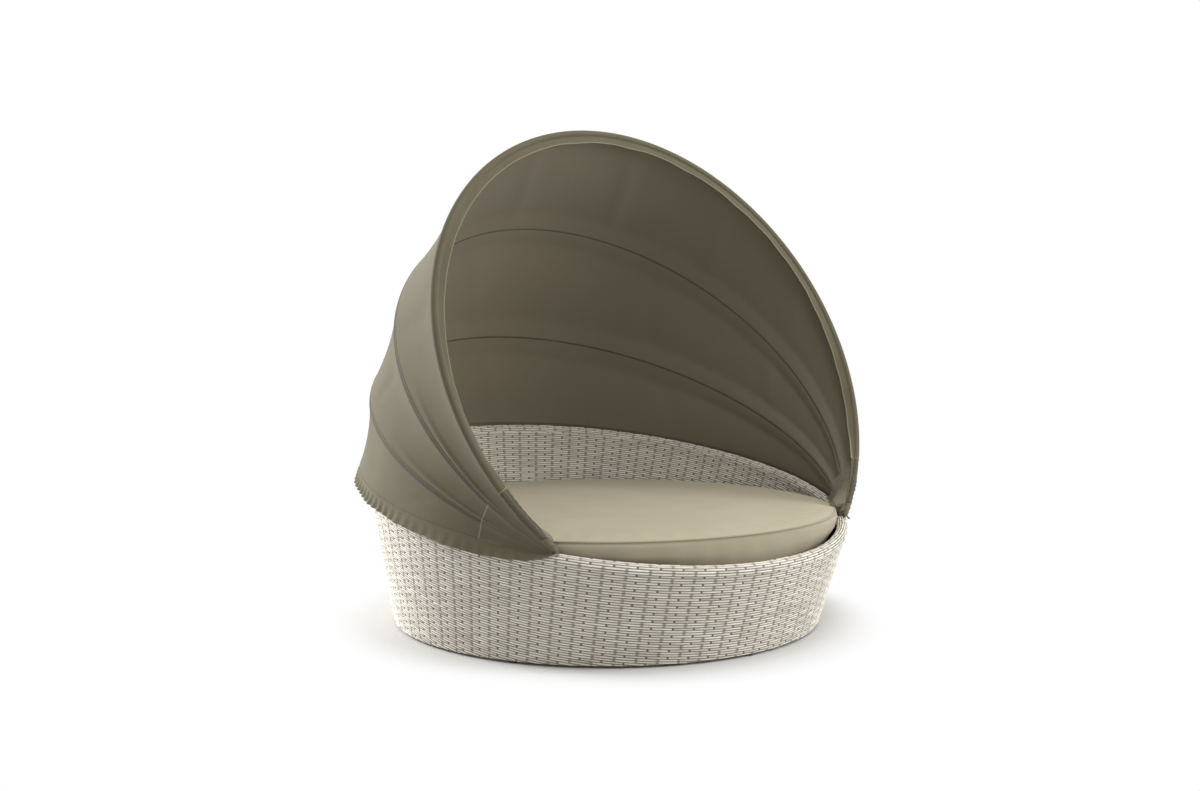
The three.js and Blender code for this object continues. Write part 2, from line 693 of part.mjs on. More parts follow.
// The end of a bow: a flat eye on the pin, cranked up to a socket round which the tube starts.
function bowEnd(bow, slot) {
  const middle = slot + lugThickness / 2;
  const eye = crossBar(slot, slot + lugThickness, eyeRadius, 20);
  const hub = crossBar(slot - hubThickness, middle, hubRadius, 16);
  const bore = crossBar(slot - lugPitch, slot + lugPitch, pinRadius + runningFit, 16);
  const toPlane = new THREE.Matrix4().copy(rimFrame).invert();
  const local = (p) => new THREE.Vector3(...p).applyMatrix4(toPlane);
  const t = startAngle(bow.radius, tubeDepth, bowStart);
  const mouth = bowSection(bow, t, tubeDepth).map(local);
  const back = socketLength / (bow.radius - tubeDepth);
  const neck = bowSection(bow, t - back, tubeDepth).map(local);
  const centre = local(inBowPlane(bow.angle, bow.radius, tubeDepth, t - back, 0));
  const pivot = new THREE.Vector3(middle, pivotBack, pivotHeight);
  const run = new THREE.Vector3(0, centre.y - pivot.y, centre.z - pivot.z);
  const length = run.length();
  run.normalize();
  // the flat part of the arm, square to its run, with its points matched to the socket's octagon
  const flat = (distance) => {
    const outward = new THREE.Vector3(1, 0, 0);
    const up = new THREE.Vector3(0, -run.z, run.y);
    return octagonShares.map(([out, lift]) => {
      const widest = Math.max(Math.abs(out), Math.abs(lift));
      return pivot.clone().addScaledVector(run, distance)
        .addScaledVector(outward, (out / widest) * (lugThickness / 2))
        .addScaledVector(up, (lift / widest) * lugHalfWidth);
    });
  };
  const rows = [flat(0), flat(length * flatArmShare), neck, mouth].map((row) => row.map((p) => p.toArray()));
  return cut(join(eye, hub, skin(rows, { capped: true })), bore);
}

// Materials

const finish = (color, roughness, metalness = 0) => new THREE.MeshStandardMaterial({
  color, roughness, metalness,
});
const fibre = finish(0xc9c2b2, 0.6);
const canopyCloth = finish(0x6a6350, 0.9);
const cushionCloth = finish(0xada48c, 0.95);
const foam = finish(0xe6dfc8, 1);
const frameAluminium = finish(0xb9b9b6, 0.45, 0.8);
const fittings = finish(0xb4b4b2, 0.35, 0.9);
const nylon = finish(0x2b2b2a, 0.6);

// Assembly

const daybed = new THREE.Group();

function add(name, geometry, material) {
  const mesh = new THREE.Mesh(geometry, material);
  mesh.name = name;
  daybed.add(mesh);
}

add('base_ring', baseRing, frameAluminium);
add('rim_tube', cut(rimTubeRing, ...bothSides(screwBores)), frameAluminium);
add('deck_ring', deckRing, frameAluminium);
add('slatted_deck', slattedDeck, frameAluminium);
add('middle_leg', middleLeg, frameAluminium);
add('middle_foot', middleFoot, nylon);
add('outer_weave', outerWeave, fibre);
add('inner_weave', innerWeave, fibre);
add('woven_rim', cut(rollRing, ...bothSides(screwBores)), fibre);
add('cushion_cover', cushionCover, cushionCloth);
add('cushion_base_panel', cushionBase, cushionCloth);
add('cushion_foam_core', foamCore, foam);

times(strutCount, strut).forEach((shape, i) => add(`wall_strut_${i + 1}`, shape, frameAluminium));
times(glideCount, glide).forEach((shape, i) => add(`floor_glide_${i + 1}`, shape, nylon));

for (const [side, hand] of [['right', 1], ['left', -1]]) {
  add(`pivot_bracket_${side}`, place(bracketShape(), hand), fittings);
  add(`pivot_pin_${side}`, place(pinShape(), hand), fittings);
  add(`pivot_nut_${side}`, place(nutShape(), hand), fittings);
  screwPlaces.forEach((p, i) => add(
    `bracket_screw_${side}_${i + 1}`, place(screwShape(p), hand), fittings));
  add(`lower_bow_end_${side}`, place(bowEnd(lowerBow, lugX.lower), hand), fittings);
  add(`upper_bow_end_${side}`, place(bowEnd(upperBow, lugX.upper), hand), fittings);
  add(`front_bow_end_${side}`, place(bowEnd(frontBow, lugX.front), hand), fittings);
  add(`canopy_corner_${side}`, cornerToe(hand), canopyCloth);
}

add('lower_bow', bowTube(lowerBow), frameAluminium);
add('upper_bow', bowTube(upperBow), frameAluminium);
add('front_bow', bowTube(frontBow), frameAluminium);
add('lower_bow_sleeve', bowSleeve(lowerBow), canopyCloth);
add('upper_bow_sleeve', bowSleeve(upperBow), canopyCloth);
add('front_bow_facing', frontFacing(), canopyCloth);
add('canopy_rear_panel', panel(rimLine, lowerBow, skirtTop), canopyCloth);
add('canopy_middle_panel', panel(lowerBow, upperBow, edgeGap), canopyCloth);
add('canopy_front_panel', panel(upperBow, frontBow, edgeGap), canopyCloth);
add('canopy_skirt', skirt(), canopyCloth);

export default daybed;
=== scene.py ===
"""Looks of a round woven daybed with a folding canopy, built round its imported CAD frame.

Metres, +Z up. The origin is on the floor under the middle foot, and the open front faces -Y.
"""
import math

import bmesh
import bpy
import numpy as np
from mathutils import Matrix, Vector


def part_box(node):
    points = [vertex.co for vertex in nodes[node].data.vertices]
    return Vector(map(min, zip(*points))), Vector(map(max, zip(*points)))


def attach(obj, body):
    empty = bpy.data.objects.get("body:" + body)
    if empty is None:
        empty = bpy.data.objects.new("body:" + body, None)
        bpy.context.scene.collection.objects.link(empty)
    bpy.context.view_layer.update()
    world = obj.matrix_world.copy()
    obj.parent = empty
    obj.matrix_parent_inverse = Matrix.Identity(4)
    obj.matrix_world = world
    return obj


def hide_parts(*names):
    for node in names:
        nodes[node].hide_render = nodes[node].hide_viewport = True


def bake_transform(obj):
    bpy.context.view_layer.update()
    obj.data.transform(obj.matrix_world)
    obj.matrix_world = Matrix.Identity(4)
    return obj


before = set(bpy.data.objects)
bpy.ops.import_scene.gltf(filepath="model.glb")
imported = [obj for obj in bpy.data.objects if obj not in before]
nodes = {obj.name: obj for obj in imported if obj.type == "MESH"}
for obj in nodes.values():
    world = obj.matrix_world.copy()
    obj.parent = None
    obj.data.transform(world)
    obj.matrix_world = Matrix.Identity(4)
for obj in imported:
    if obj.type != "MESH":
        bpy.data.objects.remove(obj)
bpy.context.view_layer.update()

# Camera: a studio camera a little above seat height, in front of the daybed's left shoulder,
# with a short portrait lens.
camera = bpy.data.objects.new("camera", bpy.data.cameras.new("camera"))
camera.data.lens = 37.21
camera.data.sensor_width = 36
camera.location = (-2.8247, -3.7303, 1.0596)
aim = Vector((-0.0306, 0, 0.8295)) - camera.location
camera.rotation_euler = aim.to_track_quat("-Z", "Y").to_euler()
bpy.context.scene.collection.objects.link(camera)
bpy.context.scene.camera = camera

# Tub frame: welded square and round aluminium tube, powder-coated. Base ring, rim tube, deck
# ring, twelve wall struts, the slatted deck with its beams, the middle leg and the three bows.


def linear(colour):
    """Linear RGBA of an sRGB hex colour, each channel with the sRGB curve undone."""
    share = np.array([int(colour[i:i + 2], 16) for i in (1, 3, 5)]) / 255
    low = share / 12.92
    high = ((share + 0.055) / 1.055) ** 2.4
    return (*np.where(share <= 0.04045, low, high).tolist(), 1.0)


def add_node(tree, kind, settings=None, links=None):
    """Adds a shader node and sets its properties and input values by name. Links its inputs to
    sockets, or to nodes, of which it takes the first output in use."""
    made = tree.nodes.new("ShaderNode" + kind)
    for key, value in (settings or {}).items():
        if isinstance(key, str) and hasattr(made, key):
            setattr(made, key, value)
        else:
            made.inputs[key].default_value = value
    for key, source in (links or {}).items():
        if isinstance(source, bpy.types.Node):
            source = next(socket for socket in source.outputs if socket.enabled)
        tree.links.new(source, made.inputs[key])
    return made


def start_material(name, **shader):
    """A new material with its node tree and its Principled shader, set by input name."""
    material = bpy.data.materials.new(name)
    material.use_nodes = True
    tree = material.node_tree
    bsdf = tree.nodes["Principled BSDF"]
    for key, value in shader.items():
        bsdf.inputs[key.replace("_", " ")].default_value = value
    return material, tree, bsdf


def finish_material(tree, bsdf, tone, height, strength, depth):
    """Gives the shader the colour of a Mix node, and a bump that follows a height to a depth."""
    bump = add_node(tree, "Bump", {"Strength": strength, "Distance": depth}, {"Height": height})
    tree.links.new(tone.outputs["Result"], bsdf.inputs["Base Color"])
    tree.links.new(bump.outputs["Normal"], bsdf.inputs["Normal"])


def dress(material, *names):
    """Gives CAD nodes this material in every slot."""
    for name in names:
        mesh = nodes[name].data
        mesh.materials.clear()
        mesh.materials.append(material)


# Powder-coated aluminium: a satin paint with a fine orange peel, about 1.5 mm from bump to bump.
coat, tree, bsdf = start_material("powder_coated_aluminium", Roughness=0.42)
place = add_node(tree, "TexCoord").outputs["Object"]
peel = add_node(tree, "TexNoise", {"Scale": 1 / 0.0015, "Detail": 2.0}, {"Vector": place})
wear = add_node(tree, "TexNoise", {"Scale": 1 / 0.12, "Detail": 3.0}, {"Vector": place})
tone = add_node(tree, "Mix", {"data_type": "RGBA", "A": linear("#d9d7d0"),
                              "B": linear("#c9c7c0")}, {0: wear})
finish_material(tree, bsdf, tone, peel, 0.15, 0.0002)
dress(coat, "base_ring", "rim_tube", "deck_ring", "slatted_deck", "middle_leg",
      "lower_bow", "upper_bow", "front_bow", *(f"wall_strut_{i + 1}" for i in range(12)))

# Feet: moulded nylon glides pressed into the base ring, and a wide one under the middle leg.
# Nylon is a dull near-black with a soft mould texture of about 0.8 mm.
nylon, tree, bsdf = start_material("moulded_nylon", Roughness=0.6)
place = add_node(tree, "TexCoord").outputs["Object"]
grain = add_node(tree, "TexNoise", {"Scale": 1 / 0.0008, "Detail": 2.0}, {"Vector": place})
tone = add_node(tree, "Mix", {"data_type": "RGBA", "A": linear("#262625"),
                              "B": linear("#33322f")}, {0: grain})
finish_material(tree, bsdf, tone, grain, 0.2, 0.0002)
dress(nylon, "middle_foot", *(f"floor_glide_{i + 1}" for i in range(6)))

# Outer weave: flat synthetic strands woven by hand over stakes round the tub. Every cell is one
# long strand over two short ones, which go behind a stake near the middle of the cell.
FOOT_RADIUS, RIM_RADIUS, FLOOR_GAP = 0.796, 0.905, 0.008
TILT = math.radians(10.9)
RIM_CENTRE = np.array([0, -0.006, 0.494])
ACROSS = np.array([1.0, 0, 0])
BACK = np.array([0, math.cos(TILT), math.sin(TILT)])
UP = np.array([0, -math.sin(TILT), math.cos(TILT)])
FRONT = -math.pi / 2
ROLL = 0.020            # radius of the roll round the rim
ROLL_LIP = 0.008        # straight height of the roll's outer lip, under its round part
COLUMNS = 77            # of the weave, round the tub
COURSE = 0.026          # height of a cell


def around(angle):
    """Outward direction at an angle round the rim, in the rim's own leaning plane."""
    angle = np.asarray(angle)[..., None]
    return np.cos(angle) * ACROSS + np.sin(angle) * BACK


def wall_at(angle, drop, inset, lowest=FLOOR_GAP):
    """A point of the wall under an angle round the rim, a drop square below the rim's plane.

    The wall is ruled: straight lines from the level circle at its foot to the leaning circle
    through the rim tube. The angle of the line that passes under the wanted angle is found by
    five corrections. Also says where the drop would pass the lowest height and was held there.
    """
    angle, drop, inset = np.broadcast_arrays(angle, drop, inset)
    line = angle.copy()
    inset = inset[..., None]
    for _ in range(5):
        level = np.stack([np.cos(line), np.sin(line), 0 * line], -1)
        foot = (FOOT_RADIUS - inset) * level + [0, 0, FLOOR_GAP]
        top = RIM_CENTRE + (RIM_RADIUS - inset) * around(line) - ROLL * UP
        deep = -(foot - RIM_CENTRE) @ UP
        share = (deep - drop) / (deep - ROLL)
        least = (lowest - FLOOR_GAP) / (top[..., 2] - FLOOR_GAP)
        held = share <= least
        point = foot + np.maximum(share, least)[..., None] * (top - foot)
        seen = np.arctan2((point - RIM_CENTRE) @ BACK, point[..., 0])
        line = line + (angle - seen + math.pi) % (2 * math.pi) - math.pi
    return point, held


def lay_mesh(name, points, uv, closed_rows=False, closed_columns=False, held=None, caps=None,
             **values):
    """A closed mesh whose corner (i, j) is points[i, j], joined to its neighbours by triangles.

    Held corners of a column are one, and triangles that this leaves without area go. Caps close
    the first and last column: a strip joins row k to the last row less k, a fan starts from the
    last row. Caps are flat and the skin is smooth, and both face out by the sign of the volume.
    The UV grid repeats the first row or column of a closed one. Values become attributes.
    """
    rows, columns = points.shape[:2]
    index = np.arange(rows * columns).reshape(rows, columns)
    if held is not None:
        first = index[np.argmax(held, 0), np.arange(columns)]
        index = np.where(held, first, index)
    i, j = np.meshgrid(np.arange(rows - (not closed_rows)),
                       np.arange(columns - (not closed_columns)), indexing="ij")
    i, j = i.ravel(), j.ravel()
    quad = [(i, j), (i, j + 1), (i + 1, j + 1), (i + 1, j)]
    corners = [index[a % rows, b % columns] for a, b in quad]
    places = [uv[a, b] for a, b in quad]
    faces, spots = ([np.stack([ends[k] for k in order], 1) for order in ((0, 1, 2), (0, 2, 3))]
                    for ends in (corners, places))
    if caps:
        k = np.arange(rows // 2 - 1) if caps == "strip" else np.arange(rows - 2)
        for column, order in ((0, (0, 2, 1)), (columns - 1, (0, 1, 2))):
            ring = index[:, column]
            if caps == "strip":
                sides = [(k, k + 1, rows - 2 - k), (k, rows - 2 - k, rows - 1 - k)]
            else:
                sides = [(np.full_like(k, rows - 1), k, k + 1)]
            for side in sides:
                faces.append(np.stack([ring[side[m]] for m in order], 1))
                spots.append(np.stack([uv[side[m], column] for m in order], 1))
    smooth = np.arange(sum(map(len, faces))) < 2 * len(i)
    faces = np.concatenate(faces)
    whole = (faces != np.roll(faces, -1, 1)).all(1)
    faces, spots = faces[whole], np.concatenate(spots)[whole]
    used, faces = np.unique(faces, return_inverse=True)
    faces = faces.reshape(-1, 3)
    co = points.reshape(-1, 3)[used]
    a, b, c = (co[faces[:, m]] for m in range(3))
    turned = (a * np.cross(b, c)).sum() < 0
    if turned:
        faces, spots = faces[:, ::-1], spots[:, ::-1]
    mesh = bpy.data.meshes.new(name)
    mesh.from_pydata(co, [], faces)
    mesh.polygons.foreach_set("use_smooth", smooth[whole])
    layer = mesh.uv_layers.new(name="UVMap")
    layer.data.foreach_set("uv", spots.astype(np.float32).ravel())
    for key, value in values.items():
        value = np.broadcast_to(value, (rows, columns)).ravel()[used]
        attribute = mesh.attributes.new(key, "FLOAT", "POINT")
        attribute.data.foreach_set("value", value.astype(np.float32))
    piece = bpy.data.objects.new(name, mesh)
    bpy.context.scene.collection.objects.link(piece)
    return piece


def ramp(value, start, run):
    """0 at a start, 1 a run further, straight between and held outside. A negative run falls."""
    return np.clip((value - start) / run, 0, 1)


random = np.random.default_rng(11)
CELL_U = np.array([0, 0.035, 0.07, 0.12, 0.38, 0.42, 0.445, 0.48, 0.52, 0.88, 0.93, 0.965])
CELL_V = np.array([0, 0.06, 0.167, 0.273, 0.333, 0.393, 0.5, 0.607, 0.667, 0.727, 0.833, 0.94])
STRANDS = 3             # in a cell, one over the other
STAKE_PLACE = 0.45      # of the stake near a cell's middle, as a share of its width
RIDGE, BED, HOLE = 3.5, 2.6, 3.2    # mm: a strand's height, its bed and the deepest hollow


def woven_cells(cells, courses):
    """Relief in millimetres, strand shade and place in the cell, for a patch of woven cells.

    A cell is three strands high. Each strand is a rounded ridge with grooves beside it. The
    first goes over the stake at the cell's edge and dives behind the one near its middle, which
    leaves a small dark hole. The other two dive at the edge, where the stake shows between them.
    Strands sway by a random third of a millimetre.
    """
    u = (np.arange(cells)[:, None] + CELL_U).ravel()
    v = (np.arange(courses)[:, None] + CELL_V).ravel()
    v, u = np.meshgrid(np.append(v, courses), np.append(u, cells), indexing="ij")
    cell, course = np.floor(u).astype(int), np.floor(v).astype(int)
    x, y = u - cell, v - course
    strand = np.floor(y * STRANDS + 1e-6).astype(int)
    off = np.abs(y * STRANDS - strand - 0.5)
    ridge = 1 - np.clip(2 * off, 0, 1) ** 1.4
    edge = np.minimum(x, 1 - x)
    middle = np.abs(x - STAKE_PLACE)
    over = np.where(strand == 0, ramp(middle, 0.028, 0.04), ramp(edge, 0.03, 0.05))
    stake = np.where(strand == 0, ramp(middle, 0.03, -0.02) * 0.15, ramp(edge, 0.05, -0.03) * 0.6)
    relief = RIDGE * ridge * np.maximum(over, stake) - BED
    relief = relief + 0.35 * np.sin(math.pi * x) * ridge * (strand > 0) * over
    sway = 0.3 * random.standard_normal((STRANDS, courses + 1, cells + 2))
    piece = cell + ((strand == 0) & (x > STAKE_PLACE))
    relief = relief + sway[strand, course, piece] * over * ridge
    shade = random.random((STRANDS, courses + 1, cells + 2))[strand, course, piece]
    return u, v, np.maximum(relief, -HOLE), shade


def woven_wall(name, start, cells, courses, first_drop, inset, facing, lowest, back_inset,
               columns=COLUMNS, course=COURSE, lean_in=0.0):
    """A woven skin: cells laid on the wall with their relief, and a plain back face. It can lean
    in over its first 40 mm, so that it meets the roll flush."""
    u, v, relief, shade = woven_cells(cells, courses)
    angle = start + u * 2 * math.pi / columns
    drop = first_drop + v * course
    point, held = wall_at(angle, drop, inset + lean_in * (1 - ramp(drop, first_drop, 0.04)), lowest)
    relief = np.where(held, -1.0, relief)
    front = point + facing * (relief / 1000)[..., None] * around(angle)
    ends = np.stack([drop[-1], drop[0]])
    back, _ = wall_at(np.stack([angle[0]] * 2), ends, back_inset, lowest)
    pad = np.zeros_like(ends)
    uv = np.stack([angle * RIM_RADIUS, drop], -1)
    closed = cells == columns
    keep = slice(0, -1) if closed else slice(None)
    return lay_mesh(
        name, np.concatenate([front, back])[:, keep],
        np.concatenate([uv, uv[-1:], uv[:1], uv[:1]]), closed_rows=True, closed_columns=closed,
        held=np.concatenate([held, pad.astype(bool)])[:, keep], caps=None if closed else "fan",
        relief=np.concatenate([relief, pad - 2])[:, keep],
        shade=np.concatenate([shade, pad])[:, keep])


# Resin strand: extruded polyethylene with a satin skin. The eye sees cream and grey strands side
# by side and streaks of both tones along each strand. Hollows where strands cross get painted
# shade.
fibre, tree, bsdf = start_material("woven_resin_strand", Roughness=0.52, Specular_IOR_Level=0.4)
relief, shade = (add_node(tree, "Attribute", {"attribute_name": name}).outputs["Fac"]
                 for name in ("relief", "shade"))
uv = add_node(tree, "UVMap", {"uv_map": "UVMap"})
# streaks 2 mm wide and about 25 mm long, which run with the strand, and blots of 9 x 4 mm
streak_place = add_node(tree, "Mapping", {"Scale": (1 / 0.025, 1 / 0.002, 1)}, {"Vector": uv})
streak = add_node(tree, "TexNoise", {"Scale": 1.0, "Detail": 3.0, "Roughness": 0.65},
                  {"Vector": streak_place})
mottle_place = add_node(tree, "Mapping", {"Scale": (1 / 0.009, 1 / 0.004, 1)}, {"Vector": uv})
mottle = add_node(tree, "TexNoise", {"Scale": 1.0, "Detail": 2.0}, {"Vector": mottle_place})
both = add_node(tree, "Math", {"operation": "MULTIPLY_ADD", 1: 0.3}, {0: shade, 2: streak})
both = add_node(tree, "Math", {"operation": "MULTIPLY_ADD", 1: 0.4}, {0: mottle, 2: both})
tones = add_node(tree, "ValToRGB", {}, {"Fac": both})
ramp_stops = tones.color_ramp.elements
ramp_stops[0].position, ramp_stops[0].color = 0.4, linear("#bfb7a4")
ramp_stops[1].position, ramp_stops[1].color = 1.0, linear("#fbf7ee")
ramp_stops.new(0.72).color = linear("#ece7da")
# Painted shade: from a relief of 1 mm down to -2.4 mm the strands' tone is mixed more and more
# towards a dark brown, so that grooves and hollows are darker.
hollow = add_node(tree, "MapRange", {"From Min": -2.4, "From Max": 1.0}, {"Value": relief})
painted_shade = add_node(tree, "Mix", {"data_type": "RGBA", "A": linear("#6a6352")},
                {0: hollow, "B": tones})
finish_material(tree, bsdf, painted_shade, streak, 0.35, 0.0006)


def fit_weave(piece, node):
    """Gives a woven skin its strands' material, and lets it stand for its plain skin."""
    piece.data.materials.append(fibre)
    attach(piece, "tub")
    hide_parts(node)


for side, start, cells in (("right", 16, 32), ("left", 48, 45)):
    weave = woven_wall(f"outer_weave_{side}_half", start=FRONT + start * 2 * math.pi / COLUMNS,
                       cells=cells, courses=24, first_drop=ROLL + ROLL_LIP, inset=0.0018,
                       facing=1, lowest=FLOOR_GAP, back_inset=0.0056)
    fit_weave(weave, "outer_weave")

# Inner weave: the same strands woven over the inside of the struts, from under the roll down to
# the slatted deck.
DECK_EDGE = 0.2747
inner = woven_wall("inner_weave_strands", start=FRONT, cells=70, courses=15,
                   first_drop=ROLL - 0.004, inset=0.0322, facing=-1, lowest=DECK_EDGE,
                   back_inset=0.0283, columns=70, course=0.0248, lean_in=0.0068)
fit_weave(inner, "inner_weave")

# Woven rim: the same cells carried on over the rim tube, from the outer lip to the inner side.
ROLL_BORE = 0.01335
ROLL_CENTRE = RIM_RADIUS - ROLL


def rim_point(angle, radius, up):
    """A point at an angle round the rim, a radius from its centre and a height over its plane."""
    radius, up = np.asarray(radius)[..., None], np.asarray(up)[..., None]
    return RIM_CENTRE + radius * around(angle) + up * UP


def woven_roll():
    """The roll: straight up from its outer lip, then round the tube on a circle, with the cells'
    relief square to it. A plain bore closes it underneath."""
    u, v, relief, shade = woven_cells(COLUMNS, 3)
    angle = FRONT + u * 2 * math.pi / COLUMNS
    path = (3 - v) * COURSE
    arc = np.maximum(path - ROLL_LIP, 0) / ROLL
    lift = (relief + 0.6) / 1000
    radius = ROLL_CENTRE + (ROLL + lift) * np.cos(arc)
    height = -ROLL + (ROLL + lift) * np.sin(arc) + np.minimum(path - ROLL_LIP, 0)
    bore = np.radians([0, 60, 120, 180, 200])[:, None] + 0 * angle[:1]
    bore_radius = ROLL_CENTRE + ROLL_BORE * np.cos(bore)
    bore_height = -ROLL + ROLL_BORE * np.sin(bore)
    bore_height[0] -= ROLL_LIP
    radius = np.concatenate([radius[::-1], bore_radius[::-1]])
    height = np.concatenate([height[::-1], bore_height[::-1]])
    pad = np.zeros_like(bore)
    angle = np.concatenate([angle[::-1], pad + angle[:1]])
    relief = np.concatenate([relief[::-1], pad - BED])
    shade = np.concatenate([shade[::-1], pad + 0.5])
    uv = np.stack([angle * RIM_RADIUS, np.concatenate([path[::-1], pad])], -1)
    return lay_mesh("woven_rim_roll", rim_point(angle, radius, height)[:, :-1],
                    np.concatenate([uv, uv[:1]]), closed_rows=True, closed_columns=True,
                    relief=relief[:, :-1], shade=shade[:, :-1])


fit_weave(woven_roll(), "woven_rim")

# Seat cushion: a round foam core in a zipped canvas cover. Top and base panels are sewn to a
# boxing band all round, with the seams rolled out slightly.
low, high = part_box("cushion_cover")
CUSHION_RADIUS = (high.x - low.x) / 2
CUSHION_Y = (high.y + low.y) / 2
SEAM_HEIGHT, CUSHION_FOOT, CROWN = 0.412, 0.287, 0.018
BOXING = SEAM_HEIGHT - CUSHION_FOOT
FOOT_TUCK = 0.0237      # by which the band leans in at its foot
SIDE_FLARE, CORNER_FLARE = 0.014, 0.020     # of the band, at the sides and the front corners


def lengths(points, axis):
    """Distance run along a grid from its first row or column, in metres."""
    step = np.linalg.norm(np.diff(points, axis=axis), axis=-1)
    start = np.zeros_like(np.take(step, [0], axis))
    return np.concatenate([start, np.cumsum(step, axis)], axis)


def cushion_surface():
    """A profile turned round the cushion's middle: flat base, boxing band that bulges between
    its two seams, seam lip, and a crowned top. Slow ripples and short puckers beside the seam
    are added to the top. The band's upper part flares by the square of the cosine of the angle
    at the sides, and of the sine of twice the angle towards the front corners."""
    angle = np.linspace(0, 2 * math.pi, 320, endpoint=False)
    share = np.linspace(0, 1, 15)
    bulge = 0.006 * np.sin(math.pi * share) ** 0.7
    tuck = FOOT_TUCK * (1 - share)
    band_r = CUSHION_RADIUS - 0.002 - tuck + bulge - 0.002
    band_z = CUSHION_FOOT + 0.003 + (BOXING - 0.003) * share
    lip_r = CUSHION_RADIUS + np.array([-0.0015, 0.0, 0.0, -0.0015, -0.004])
    lip_z = SEAM_HEIGHT + np.array([-0.0006, 0.0006, 0.0030, 0.0042, 0.0036])
    ring = np.array([0.988, 0.98, 0.965, 0.945, 0.92, 0.885, 0.84, 0.78, 0.7, 0.6, 0.5, 0.4, 0.3,
                     0.2, 0.12, 0.05, 0.012])
    top_z = SEAM_HEIGHT + CROWN * (1 - ring ** 8) ** 0.55 * (1 - 0.12 * ring ** 2)
    base = np.array([0.012, 0.3, 0.6, 0.85, 0.97])
    r = np.concatenate([(CUSHION_RADIUS - FOOT_TUCK - 0.004) * base, band_r, lip_r,
                        CUSHION_RADIUS * ring])
    z = np.concatenate([np.full_like(base, CUSHION_FOOT), band_z, lip_z, top_z])
    r, z, a = r[:, None], z[:, None], angle[None]
    on_top = z > SEAM_HEIGHT
    near = ramp(r / CUSHION_RADIUS, 0.86, 0.12) * on_top
    pucker = 0.0011 * np.sin(61 * a + 3 * np.sin(5 * a)) * near * (1 - near) * 4
    x0, y0 = r * np.cos(a), r * np.sin(a)
    ripple = 0.0022 * (np.sin(7 * x0 + 4 * y0) * np.sin(5 * y0 - 2 * x0 + 1) - 0.3)
    z = z + pucker + ripple * ramp(r / CUSHION_RADIUS, 0.97, -0.2) * on_top
    sway = 0.0012 * np.sin(43 * a + 2 * np.sin(7 * a))
    sway = sway * np.sin(math.pi * ramp(z, CUSHION_FOOT, BOXING))
    corner = np.sin(2 * a) ** 2 * (np.sin(a) < 0)
    flare = SIDE_FLARE * np.cos(a) ** 2 * ramp(z, 0.34, 0.06) ** 1.2
    flare = flare + CORNER_FLARE * corner * ramp(z, 0.30, 0.06) ** 1.2
    sway = sway + flare * ramp(r, 0.6, 0.2) * np.maximum(1 - ramp(z, 0.40, 0.04), 0.6)
    grid = np.stack([(r + sway) * np.cos(a), CUSHION_Y + (r + sway) * np.sin(a), z + 0 * a], -1)
    poles = [np.full((1, len(angle), 3), [0, CUSHION_Y, height])
             for height in (CUSHION_FOOT, grid[-1, :, 2].mean())]
    grid = np.concatenate([poles[0], grid, poles[1]])
    # Distance from a seam, within which the canvas paints shade: none on the base, full on the seam
    # lip.
    seam = np.concatenate([np.ones_like(base), np.minimum(share, 1 - share) * BOXING, 0 * lip_r,
                           CUSHION_RADIUS * (1 - ring)])
    # Painted shade: the boxing band, up to just under the seam, is a fifth dimmer.
    band = np.concatenate([0 * base, np.ones_like(band_r), [1, 0, 0, 0, 0], 0 * ring])
    seam, band = (np.pad(value, 1, mode="edge")[:, None] for value in (seam, band))
    path = lengths(np.stack([r[:, 0], z[:, 0]], -1), 0)
    turn = np.append(angle, 2 * math.pi) * CUSHION_RADIUS
    uv = np.stack(np.meshgrid(np.pad(path, 1, mode="edge"), turn, indexing="ij"), -1)
    return grid, seam, band, uv


grid, seam, band, uv = cushion_surface()
cushion = lay_mesh("seat_cushion", grid, uv, closed_columns=True, seam=seam, band=band)
# the corners that lie together at each pole are made one
poles = bmesh.new()
poles.from_mesh(cushion.data)
bmesh.ops.remove_doubles(poles, verts=poles.verts, dist=1e-6)
poles.to_mesh(cushion.data)
poles.free()

WAVE_PERIOD = 0.314     # metres from one band of a wave texture to the next at a scale of 1


